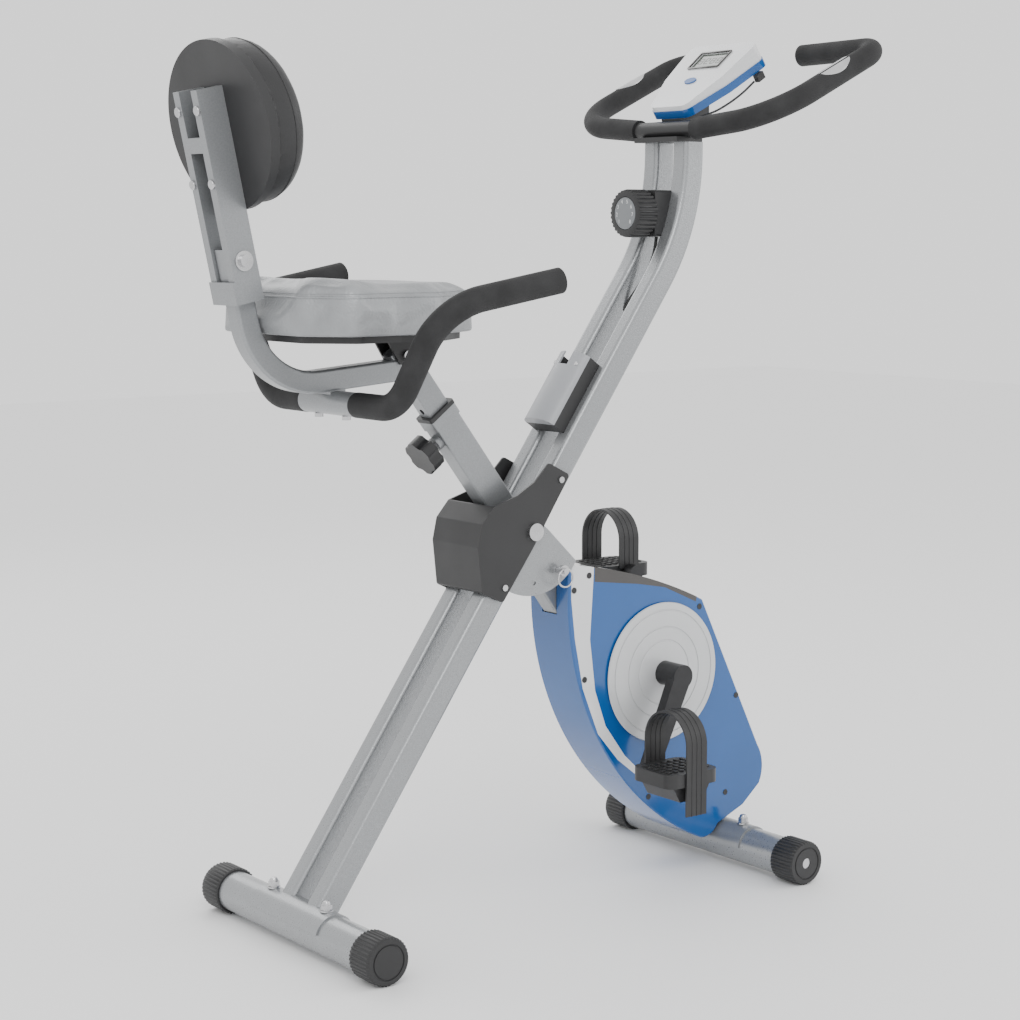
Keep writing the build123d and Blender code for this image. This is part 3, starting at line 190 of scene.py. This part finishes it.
def finish_of(name, colour, kind, scale, roughness, metallic=0.0, coat=0.0, bump=0.1, depth=0.0004, shade=0.8,
              spread=0.08):
    """A finish from one shader group: shade darkens the colour in the group's low places."""
    material = bpy.data.materials.new(name)
    material.use_nodes = True
    tree = material.node_tree
    shader = tree.nodes["Principled BSDF"]
    shader.inputs["Metallic"].default_value = metallic
    shader.inputs["Coat Weight"].default_value = coat
    shader.inputs["Coat Roughness"].default_value = 0.08
    group = tree.nodes.new("ShaderNodeGroup")
    group.node_tree = groups[kind]
    group.inputs["Scale"].default_value = scale
    # With the hammertone and the vinyl this mask follows the bump height, so the darker colour is painted shade in
    # their hollows (with the hammertone's own mottle mixed in); with the other groups it is tone that differs at
    # random.
    mask = group.outputs["MottleAndDentShade"] if kind == "hammer" else group.outputs["Shade"]
    mix = tree.nodes.new("ShaderNodeMix")
    mix.data_type = "RGBA"
    dark, light = [s for s in mix.inputs if s.type == "RGBA"]
    dark.default_value = tuple(shade * c for c in colour) + (1.0,)
    light.default_value = tuple(colour) + (1.0,)
    link(tree, mask, mix.inputs[0])
    result = [s for s in mix.outputs if s.type == "RGBA"][0]
    link(tree, result, shader.inputs["Base Color"])
    link(tree, reshape(tree, mask, 0.0, 1.0, roughness + spread, roughness), shader.inputs["Roughness"])
    relief = tree.nodes.new("ShaderNodeBump")
    relief.inputs["Strength"].default_value = bump
    relief.inputs["Distance"].default_value = depth
    link(tree, group.outputs["Height"], relief.inputs["Height"])
    link(tree, relief.outputs["Normal"], shader.inputs["Normal"])
    return material


finishes = {
    "frame_silver": finish_of("hammertone_silver", (0.33, 0.34, 0.35), "hammer", 520.0, 0.27, 0.60, 0.3,
                              0.40, shade=0.84),
    "frame_grey": finish_of("satin_grey_coat", (0.29, 0.30, 0.31), "hammer", 620.0, 0.32, 0.50, 0.2,
                             0.25, shade=0.88),
    "bar_black": finish_of("black_powder_coat", (0.018, 0.018, 0.019), "grain", 1300.0, 0.38, bump=0.25),
    "foam_black": finish_of("foam_grip", (0.017, 0.017, 0.018), "foam", 900.0, 0.72, bump=0.5, shade=0.6),
    "cap_black": finish_of("black_moulding", (0.020, 0.020, 0.021), "grain", 1100.0, 0.42, bump=0.25),
    "knob_black": finish_of("black_knob", (0.016, 0.016, 0.017), "grain", 1400.0, 0.36, bump=0.2),
    "strap_black": finish_of("strap_vinyl", (0.020, 0.020, 0.021), "vinyl", 900.0, 0.45, bump=0.2),
    "holder_grey": finish_of("grey_moulding", (0.36, 0.37, 0.39), "grain", 900.0, 0.34, coat=0.1, shade=0.9),
    "housing_blue": finish_of("blue_moulding", (0.002, 0.085, 0.31), "grain", 700.0, 0.18, coat=0.5,
                              bump=0.04, shade=0.9),
    "band_white": finish_of("white_moulding", (0.72, 0.73, 0.74), "grain", 700.0, 0.22, coat=0.4, bump=0.04,
                            shade=0.94),
    "smoke_strip": finish_of("smoked_moulding", (0.040, 0.036, 0.034), "grain", 600.0, 0.14, coat=0.6,
                             bump=0.03),
    "disc_silver": finish_of("silver_moulding", (0.60, 0.61, 0.62), "grain", 1000.0, 0.30, 0.15, 0.2, 0.10,
                             shade=0.92),
    "screen_dark": finish_of("display_window", (0.10, 0.12, 0.10), "grain", 500.0, 0.10, coat=0.8, bump=0.02),
    "button_blue": finish_of("blue_button", (0.003, 0.10, 0.36), "grain", 900.0, 0.30, coat=0.2, bump=0.08),
    "sensor_metal": finish_of("polished_plate", (0.66, 0.66, 0.67), "brushed", 500.0, 0.18, 1.0, bump=0.06),
    "bolt_steel": finish_of("zinc_plating", (0.62, 0.62, 0.63), "brushed", 600.0, 0.22, 1.0, bump=0.08),
    "crank_steel": finish_of("dark_steel", (0.045, 0.045, 0.047), "brushed", 400.0, 0.34, 0.7, bump=0.12),
    "wheel_iron": finish_of("turned_iron", (0.20, 0.20, 0.21), "brushed", 300.0, 0.40, 0.9, bump=0.15),
    "pulley_nylon": finish_of("black_nylon", (0.03, 0.03, 0.03), "grain", 900.0, 0.50, bump=0.15),
    "belt_rubber": finish_of("belt_rubber", (0.018, 0.018, 0.018), "grain", 1500.0, 0.70, bump=0.3),
    "cord_black": finish_of("cable_sheath", (0.018, 0.018, 0.018), "grain", 1600.0, 0.45, bump=0.2),
    "vinyl_silver": finish_of("silver_vinyl", (0.32, 0.33, 0.34), "vinyl", 300.0, 0.36, 0.25, 0.1, 0.55,
                              depth=0.0010, shade=0.80),
    "vinyl_black": finish_of("black_vinyl", (0.017, 0.017, 0.018), "vinyl", 520.0, 0.40, bump=0.3,
                             depth=0.0005),
}
thread = finish_of("stitching_thread", (0.30, 0.31, 0.32), "grain", 1800.0, 0.75, bump=0.5)
label_white = finish_of("printed_white", (0.75, 0.76, 0.77), "grain", 1500.0, 0.45, shade=0.95)
label_grey = finish_of("printed_grey", (0.20, 0.21, 0.22), "grain", 1500.0, 0.40, shade=0.9)

slot_of = {part["node"]: part["material_slot"] for part in frame["record"]["subparts"]}
for node, piece in frame["nodes"].items():
    for index in range(len(piece.data.materials)):
        piece.data.materials[index] = finishes[slot_of[node]]


# ---------------------------------------------------------------- modelling helpers
def as_object(name, bm, material, smooth=35.0):
    """Turn a bmesh into an object at the origin; edges sharper than the angle stay crisp."""
    bmesh.ops.remove_doubles(bm, verts=bm.verts, dist=1e-6)
    bmesh.ops.recalc_face_normals(bm, faces=bm.faces)
    for face in bm.faces:
        face.smooth = True
    limit = math.radians(smooth)
    for edge in bm.edges:
        if len(edge.link_faces) == 2:
            edge.smooth = edge.calc_face_angle(0.0) < limit
    mesh = bpy.data.meshes.new(name)
    bm.to_mesh(mesh)
    bm.free()
    mesh.materials.append(material)
    piece = bpy.data.objects.new(name, mesh)
    bpy.context.scene.collection.objects.link(piece)
    return piece


def axis_frame(origin, axis, side=(1.0, 0.0, 0.0)):
    """A matrix whose Z is the axis and whose X is as near to side as it can be."""
    z = Vector(axis).normalized()
    x = Vector(side)
    x = (x - z * x.dot(z)).normalized()
    y = z.cross(x)
    matrix = Matrix((x, y, z)).transposed().to_4x4()
    matrix.translation = Vector(origin)
    return matrix


def lathe(bm, profile, place, steps=72):
    """Spin a profile of (radius, height) about the place's own Z; first and last radius may be zero."""
    corners = [bm.verts.new((radius, 0.0, height)) for radius, height in profile]
    edges = [bm.edges.new(pair) for pair in zip(corners, corners[1:])]
    before = set(bm.verts)
    bmesh.ops.spin(bm, geom=corners + edges, cent=(0, 0, 0), axis=(0, 0, 1), dvec=(0, 0, 0), angle=TURN,
                   steps=steps, use_merge=True, use_normal_flip=False, use_duplicate=False)
    made = [v for v in bm.verts if v not in before or v in corners]
    bmesh.ops.remove_doubles(bm, verts=made, dist=1e-6)
    made = [v for v in bm.verts if v.is_valid and (v in corners or v not in before)]
    bmesh.ops.transform(bm, matrix=place, verts=made)


def lathed(name, profile, place, material, steps=72):
    bm = bmesh.new()
    lathe(bm, profile, place, steps)
    return as_object(name, bm, material)


def ribbed(bm, profile, place, ribs, depth):
    """Lathe a profile whose outermost band is then pressed in between evenly spaced ribs."""
    lathe(bm, profile, Matrix.Identity(4), ribs * 4)
    beyond = max(radius for radius, _ in profile) - depth
    for vertex in bm.verts:
        radius = math.hypot(vertex.co.x, vertex.co.y)
        index = round(math.atan2(vertex.co.y, vertex.co.x) / TURN * ribs * 4)
        if radius > beyond and index % 4 >= 2:
            vertex.co.x *= (radius - depth) / radius
            vertex.co.y *= (radius - depth) / radius
    bmesh.ops.transform(bm, matrix=place, verts=bm.verts)


def slab(bm, place, size, round_by=0.0, segments=3):
    """A box in its own place, centred, with its edges rounded."""
    made = bmesh.ops.create_cube(bm, size=1.0)["verts"]
    bmesh.ops.scale(bm, vec=size, verts=made)
    if round_by > 0:
        edges = list({edge for v in made for edge in v.link_edges})
        result = bmesh.ops.bevel(bm, geom=edges, offset=round_by, segments=segments, profile=0.5,
                                 affect="EDGES", material=-1)
        made = list({v for face in result["faces"] for v in face.verts} | {v for v in made if v.is_valid})
    bmesh.ops.transform(bm, matrix=place, verts=made)


def joined(name, parts, material, smooth=35.0):
    """One object from a list of functions that each add to a bmesh."""
    bm = bmesh.new()
    for add in parts:
        add(bm)
    return as_object(name, bm, material, smooth)


def ready(piece, body):
    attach(piece, body)
    return piece


def select_only(piece):
    bpy.ops.object.select_all(action="DESELECT")
    piece.select_set(True)
    bpy.context.view_layer.objects.active = piece


# ---------------------------------------------------------------- padded pieces
def merged_copy(node, name, material):
    """A clean closed copy of a CAD node's loose triangles."""
    bm = bmesh.new()
    bm.from_mesh(frame["nodes"][node].data)
    bmesh.ops.remove_doubles(bm, verts=bm.verts, dist=1e-5)
    bmesh.ops.dissolve_limit(bm, angle_limit=math.radians(1.0), verts=bm.verts, edges=bm.edges)
    return as_object(name, bm, material, 180.0)


def remeshed(piece, voxel):
    modifier = piece.modifiers.new("remesh", "REMESH")
    modifier.mode = "VOXEL"
    modifier.voxel_size = voxel
    modifier.use_smooth_shade = True
    select_only(piece)
    bpy.ops.object.modifier_apply(modifier="remesh")


def inflated(piece, held, pressure, cap):
    """Blow the skin out as cloth; held says which points stay, and no point moves further than cap."""
    start = [v.co.copy() for v in piece.data.vertices]
    pins = piece.vertex_groups.new(name="held")
    pins.add([v.index for v in piece.data.vertices if held(v.co)], 1.0, "REPLACE")
    cloth = piece.modifiers.new("cloth", "CLOTH")
    cloth.settings.use_pressure = True
    cloth.settings.uniform_pressure_force = pressure
    cloth.settings.effector_weights.gravity = 0.0
    cloth.settings.vertex_group_mass = "held"
    cloth.settings.tension_stiffness = 18.0
    cloth.settings.compression_stiffness = 18.0
    cloth.settings.bending_stiffness = 2.0
    cloth.collision_settings.use_collision = False
    for number in range(1, 21):
        bpy.context.scene.frame_set(number)
    shape = bpy.context.evaluated_depsgraph_get()
    moved = [v.co.copy() for v in piece.evaluated_get(shape).data.vertices]
    piece.modifiers.remove(cloth)
    bpy.context.scene.frame_set(1)
    for vertex, old, new in zip(piece.data.vertices, start, moved):
        step = new - old
        if step.length > cap:
            step = step.normalized() * cap
        vertex.co = old + step


def smoothed(piece, rounds, held):
    bm = bmesh.new()
    bm.from_mesh(piece.data)
    free = [v for v in bm.verts if not held(v.co)]
    for _ in range(rounds):
        bmesh.ops.smooth_vert(bm, verts=free, factor=0.5, use_axis_x=True, use_axis_y=True, use_axis_z=True)
    bm.to_mesh(piece.data)
    bm.free()


def subdivided(piece):
    modifier = piece.modifiers.new("smooth", "SUBSURF")
    modifier.levels = 1
    modifier.render_levels = 1
    select_only(piece)
    bpy.ops.object.modifier_apply(modifier="smooth")


def cut_line(piece, point, normal, name, radius, material):
    """A round bead along the line where a plane cuts a piece's skin."""
    bm = bmesh.new()
    bm.from_mesh(piece.data)
    bmesh.ops.bisect_plane(bm, geom=bm.verts[:] + bm.edges[:] + bm.faces[:], dist=1e-6, plane_co=point,
                           plane_no=normal, clear_inner=True, clear_outer=True)
    bmesh.ops.remove_doubles(bm, verts=bm.verts, dist=0.002)
    mesh = bpy.data.meshes.new(name)
    bm.to_mesh(mesh)
    bm.free()
    line = bpy.data.objects.new(name, mesh)
    bpy.context.scene.collection.objects.link(line)
    select_only(line)
    bpy.ops.object.convert(target="CURVE")
    line.data.bevel_depth = radius
    line.data.bevel_resolution = 2
    line.data.use_fill_caps = True
    bpy.ops.object.convert(target="MESH")
    made = bpy.context.view_layer.objects.active
    made.data.materials.clear()
    made.data.materials.append(material)
    for polygon in made.data.polygons:
        polygon.use_smooth = True
    return made


def shift_skin(piece, move):
    for vertex in piece.data.vertices:
        vertex.co = vertex.co + move(vertex.co)


seat_low, seat_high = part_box("seat_cushion")
seat_middle = (seat_low + seat_high) / 2
seat_half = (seat_high - seat_low) / 2
seam_height = seat_high.z - 0.013
stitch_rise = 0.0045


def seat_held(place):
    return place.z < seat_low.z + 0.006


def seat_crown(place):
    """The top dips a little for the sitter, and rises to a soft crest at the rear and sides."""
    if place.z < seat_middle.z:
        return Vector((0, 0, 0))
    along = (place.x - seat_middle.x) / seat_half.x
    across = (place.y - seat_middle.y) / seat_half.y
    dip = 0.008 * math.exp(-((along + 0.1) ** 2 * 3 + across ** 2 * 3))
    crest = 0.006 * math.exp(-((along + 0.8) ** 2) * 8)
    lift = (place.z - seat_middle.z) / seat_half.z
    return Vector((0, 0, (crest - dip - 0.004 * max(0.0, along) ** 2) * lift))


padding_grid = 0.005
padding_pressure = 4.0
cushion = merged_copy("seat_cushion", "seat_skin", finishes["vinyl_silver"])
remeshed(cushion, padding_grid)
smoothed(cushion, 6, seat_held)
inflated(cushion, seat_held, padding_pressure, 0.006)
smoothed(cushion, 2, seat_held)
shift_skin(cushion, seat_crown)
subdivided(cushion)
for polygon in cushion.data.polygons:
    polygon.use_smooth = True
ready(cushion, "seat")
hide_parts("seat_cushion")
bead = cut_line(cushion, (0, 0, seam_height), (0, 0, 1), "seat_piping", 0.0016,
                finishes["vinyl_silver"])
ready(bead, "seat")
stitches = cut_line(cushion, (0, 0, seam_height + stitch_rise), (0, 0, 1), "seat_stitching", 0.0006, thread)
ready(stitches, "seat")

backrest_lean = 12.0
lean = math.radians(backrest_lean)
lean_forward = Vector((math.cos(lean), 0, math.sin(lean)))
pad_low, pad_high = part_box("backrest_pad")
pad_middle = (pad_low + pad_high) / 2
pad_depth = 0.025


def pad_held(place):
    return (place - pad_middle).dot(lean_forward) < -pad_depth + 0.005


pad = merged_copy("backrest_pad", "backrest_skin", finishes["vinyl_black"])
remeshed(pad, padding_grid)
smoothed(pad, 8, pad_held)
inflated(pad, pad_held, padding_pressure, 0.007)
smoothed(pad, 3, pad_held)
subdivided(pad)
for polygon in pad.data.polygons:
    polygon.use_smooth = True
ready(pad, "backrest")
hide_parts("backrest_pad")
welt = cut_line(pad, pad_middle - lean_forward * (pad_depth - 0.004), lean_forward, "backrest_welt", 0.0026,
                finishes["vinyl_black"])
ready(welt, "backrest")
ring = cut_line(pad, pad_middle + lean_forward * 0.006, lean_forward, "backrest_seam", 0.0009,
                finishes["strap_black"])
ready(ring, "backrest")

# ---------------------------------------------------------------- crank discs
crank = Vector(joints["crank_spin"]["pos_m"])
disc_low, disc_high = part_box("crank_discs")
disc_radius = (disc_high.x - disc_low.x) / 2
crank_bore = 0.0182
disc_rise = 0.004
hub_start = 0.0845
disc_profile = [(crank_bore, 0.0), (disc_radius - 0.001, 0.0), (disc_radius, 0.0010),
                (disc_radius - 0.001, 0.0028), (disc_radius - 0.010, 0.0034), (disc_radius - 0.0105, 0.0022),
                (disc_radius - 0.0125, 0.0022), (disc_radius - 0.0130, 0.0036), (0.070, 0.0038),
                (0.0695, 0.0026), (0.0675, 0.0026), (0.067, 0.0040), (0.050, 0.0040), (0.0495, 0.0030),
                (0.0475, 0.0030), (0.047, 0.0042), (0.036, 0.0052), (0.028, 0.0052), (crank_bore, 0.0060),
                (crank_bore, 0.0)]
hub_profile = [(0.0, 0.0), (0.0165, 0.0), (0.0165, 0.006), (0.014, 0.0095), (0.0, 0.0105)]
for name, sign, face in (("crank_disc_left", 1, disc_high.y), ("crank_disc_right", -1, disc_low.y)):
    place = axis_frame((crank.x, face - sign * disc_rise, crank.z), (0, sign, 0))
    disc = lathed(name, disc_profile, place, finishes["disc_silver"], 128)
    ready(disc, "crank")
    if sign > 0:
        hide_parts("crank_discs")
    hub_place = axis_frame((crank.x, sign * hub_start, crank.z), (0, sign, 0))
    cone = lathed(name + "_hub", hub_profile, hub_place, finishes["cap_black"], 48)
    ready(cone, "crank")

# ---------------------------------------------------------------- pedals
stud_rows = 7
stud_columns = 5
stud_pitch = Vector((0.012, 0.013, 0.0))
stud_size = (0.0065, 0.008, 0.003)
rib_radius = 0.0007
for side in ("left", "right"):
    body = "pedal_" + side
    low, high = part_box(body)
    middle = (low + high) / 2
    studs = []
    for row in range(stud_rows):
        for column in range(stud_columns):
            x = middle.x + (row - (stud_rows - 1) / 2) * stud_pitch.x
            y = middle.y + (column - (stud_columns - 1) / 2) * stud_pitch.y
            place = Matrix.Translation((x, y, high.z + 0.0005))
            studs.append(lambda bm, place=place: slab(bm, place, stud_size, 0.001, 2))
    tread = joined(body + "_studs", studs, finishes["cap_black"])
    ready(tread, body)
    strap = "pedal_strap_" + side
    strap_low, strap_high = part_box(strap)
    strap_middle = (strap_low.x + strap_high.x) / 2
    for number, offset in enumerate((-0.009, 0.0, 0.009)):
        rib = cut_line(frame["nodes"][strap], (strap_middle + offset, 0, 0), (1, 0, 0),
                       f"{strap}_rib_{number + 1}", rib_radius, finishes["strap_black"])
        ready(rib, body)

# ---------------------------------------------------------------- end caps and rollers
roller_low, roller_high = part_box("roller_left")
cap_length = roller_high.y - roller_low.y
cap_radius = (roller_high.z - roller_low.z) / 2
cap_face = [(cap_radius - 0.0020, 0.0), (cap_radius, 0.0015), (cap_radius, cap_length - 0.0035),
            (cap_radius - 0.0025, cap_length), (cap_radius - 0.0085, cap_length),
            (cap_radius - 0.0090, cap_length - 0.0012), (cap_radius - 0.0105, cap_length - 0.0012),
            (cap_radius - 0.0110, cap_length)]
plain_centre = [(0.0, 0.0)] + cap_face + [(0.0, cap_length)]
bored_centre = [(0.0045, 0.0)] + cap_face + [(0.0078, cap_length), (0.0072, cap_length - 0.0035),
                                             (0.0045, cap_length - 0.0035), (0.0045, 0.0)]
rear_caps_low, rear_caps_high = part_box("rear_caps")
rear_axis = (rear_caps_low + rear_caps_high) / 2
front_axis = Vector(joints["roller_left_spin"]["pos_m"])
for name, node, body, axis, profile, sign in (
        ("rear_cap_left", "rear_caps", "rear_frame", rear_axis, plain_centre, 1),
        ("rear_cap_right", "", "rear_frame", rear_axis, plain_centre, -1),
        ("front_roller_left", "roller_left", "roller_left", front_axis, bored_centre, 1),
        ("front_roller_right", "roller_right", "roller_right", front_axis, bored_centre, -1)):
    bm = bmesh.new()
    ribbed(bm, profile, axis_frame((axis.x, sign * roller_low.y, axis.z), (0, sign, 0)), 38, 0.0015)
    cap = as_object(name, bm, finishes["cap_black"], 30.0)
    ready(cap, body)
    if node:
        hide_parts(node)

# ---------------------------------------------------------------- tension dial
dial_joint = joints["tension_dial_turn"]
dial_low, dial_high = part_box("tension_dial")
dial_face = dial_low.x
dial_radius = (dial_high.z - dial_low.z) / 2
dial_centre = Vector((dial_face, 0.0, dial_joint["pos_m"][2]))


dial_profile = [(0.0, 0.0365), (dial_radius - 0.003, 0.0365), (dial_radius, 0.034), (dial_radius, 0.006),
                (dial_radius - 0.001, 0.001), (dial_radius - 0.007, 0.0), (0.0245, 0.0), (0.0235, 0.0012),
                (0.0, 0.0012)]
bm = bmesh.new()
ribbed(bm, dial_profile, axis_frame(dial_centre, (1, 0, 0), (0, 1, 0)), 30, 0.0016)
dial = as_object("tension_dial_grip", bm, finishes["knob_black"], 30.0)
ready(dial, "tension_dial")
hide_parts("tension_dial")
badge_profile = [(0.0, 0.0), (0.0232, 0.0), (0.0232, 0.0009), (0.0222, 0.0013), (0.0, 0.0015)]
badge_place = axis_frame(dial_centre + Vector((0.0013, 0, 0)), (-1, 0, 0), (0, 1, 0))
badge = lathed("tension_dial_badge", badge_profile, badge_place, label_grey, 64)
ready(badge, "tension_dial")


def lettering(name, text, place, size, material, body):
    """Raised printing, a tenth of a millimetre thick."""
    data = bpy.data.curves.new(name, "FONT")
    data.body = text
    data.size = size
    data.extrude = 0.00012
    data.align_x = "CENTER"
    data.align_y = "CENTER"
    made = bpy.data.objects.new(name, data)
    bpy.context.scene.collection.objects.link(made)
    select_only(made)
    bpy.ops.object.convert(target="MESH")
    made = bpy.context.view_layer.objects.active
    made.data.transform(place)
    made.data.materials.clear()
    made.data.materials.append(material)
    ready(made, body)


dial_numbers = 8
number_start = 225.0
number_turn = 38.5
number_radius = 0.0175
number_height = 0.008
for step in range(dial_numbers):
    angle = math.radians(number_start - step * number_turn)
    spot = dial_centre + Vector((-0.0004, -number_radius * math.cos(angle), number_radius * math.sin(angle)))
    lettering(f"dial_number_{step + 1}", str(step + 1), axis_frame(spot, (-1, 0, 0), (0, -1, 0)),
              number_height, label_white, "tension_dial")

# ---------------------------------------------------------------- console details
press = joints["console_button_press"]
face_normal = -Vector(press["axis"]).normalized()
face_along = Vector((face_normal.z, 0, -face_normal.x))
screen_low, screen_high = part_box("console_screen")
screen_centre = (screen_low + screen_high) / 2 + face_normal * 0.0011
segments = []
for column, y in enumerate((-0.020, -0.007, 0.006, 0.019)):
    for u, v, wide, tall in ((0.006, 0, 0.007, 0.0012), (0.0, 0, 0.007, 0.0012), (-0.006, 0, 0.007, 0.0012),
                             (0.003, 0.004, 0.0012, 0.005), (0.003, -0.004, 0.0012, 0.005),
                             (-0.003, 0.004, 0.0012, 0.005), (-0.003, -0.004, 0.0012, 0.005)):
        if column == 1 and v > 0 and u < 0:
            continue
        spot = screen_centre + face_along * u + Vector((0, -y - v, 0))
        place = axis_frame(spot, face_normal, (0, -1, 0))
        segments.append(lambda bm, place=place, size=(wide, tall, 0.0003): slab(bm, place, size))
digits = joined("display_segments", segments, finishes["smoke_strip"])
ready(digits, "rear_frame")


def cut_frame(bm):
    """A raised rim round the display."""
    place = axis_frame(screen_centre + face_normal * 0.0022, face_normal, (0, 1, 0))
    for offset, size in (((0, 0.0185), (0.066, 0.003, 0.002)), ((0, -0.0185), (0.066, 0.003, 0.002)),
                         ((0.0325, 0), (0.003, 0.036, 0.002)), ((-0.0325, 0), (0.003, 0.036, 0.002))):
        slab(bm, place @ Matrix.Translation((offset[0], offset[1], 0)), size, 0.0006, 2)


rim = joined("display_rim", [cut_frame], finishes["smoke_strip"])
ready(rim, "rear_frame")

# ---------------------------------------------------------------- fixings
def dome_nut(bm, place, radius, height):
    """A hexagon nut with a domed top, standing on its place."""
    hexagon = bmesh.ops.create_cone(bm, cap_ends=True, segments=6, radius1=radius, radius2=radius,
                                    depth=height * 0.55)["verts"]
    bmesh.ops.translate(bm, vec=(0, 0, height * 0.275), verts=hexagon)
    bmesh.ops.transform(bm, matrix=place, verts=hexagon)
    lathe(bm, [(radius * 0.80, height * 0.5), (radius * 0.76, height * 0.72), (radius * 0.55, height * 0.92),
               (0.0, height)], place, 32)


nut_radius = 0.0078
nut_height = 0.0128
nut_seat = 0.0662
rear_bolt_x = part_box("rear_bolts")[0].x + 0.009
for name, body, x, bolt_y in (("rear_dome_nuts", "rear_frame", rear_bolt_x, 0.068),
                              ("front_dome_nuts", "main_frame", front_axis.x, 0.078)):
    nuts = []
    for y in (bolt_y, -bolt_y):
        place = Matrix.Translation((x, y, nut_seat))
        nuts.append(lambda bm, place=place: dome_nut(bm, place, nut_radius, nut_height))
    ready(joined(name, nuts, finishes["bolt_steel"], 30.0), body)

# ---------------------------------------------------------------- floor, light and camera
bm = bmesh.new()
bmesh.ops.create_grid(bm, x_segments=1, y_segments=1, size=9.0)
floor_finish = bpy.data.materials.new("studio_floor")
floor_finish.use_nodes = True
floor_shader = floor_finish.node_tree.nodes["Principled BSDF"]
floor_shader.inputs["Base Color"].default_value = (0.95, 0.95, 0.95, 1.0)
floor_shader.inputs["Roughness"].default_value = 0.6
floor = as_object("studio_floor", bm, floor_finish)

world = bpy.data.worlds.new("studio")
world.use_nodes = True
world.node_tree.nodes["Background"].inputs["Color"].default_value = (1.0, 1.0, 1.0, 1.0)
world.node_tree.nodes["Background"].inputs["Strength"].default_value = 1.35
bpy.context.scene.world = world


def soft_light(name, place, target, size, power):
    data = bpy.data.lights.new(name, "AREA")
    data.size = size
    data.energy = power
    lamp = bpy.data.objects.new(name, data)
    bpy.context.scene.collection.objects.link(lamp)
    lamp.location = place
    lamp.rotation_euler = (Vector(place) - Vector(target)).to_track_quat("Z", "Y").to_euler()


soft_light("key_light", (-1.6, -2.6, 2.9), (0, 0, 0.6), 1.8, 42)
soft_light("fill_light", (2.8, -1.8, 1.8), (0, 0, 0.6), 2.2, 18)
soft_light("back_light", (0.4, 2.8, 2.6), (0, 0, 0.7), 1.8, 20)

azimuth = math.radians(-36.93)
elevation = math.radians(7.24)
back = Vector((math.sin(azimuth) * math.cos(elevation), -math.cos(azimuth) * math.cos(elevation),
               math.sin(elevation)))
camera_data = bpy.data.cameras.new("camera")
camera_data.lens = 78.32
camera_data.sensor_width = 36.0
camera = bpy.data.objects.new("camera", camera_data)
bpy.context.scene.collection.objects.link(camera)
camera.location = (-1.8934, -2.5159, 0.9706)
camera.rotation_euler = back.to_track_quat("Z", "Y").to_euler()
bpy.context.scene.camera = camera
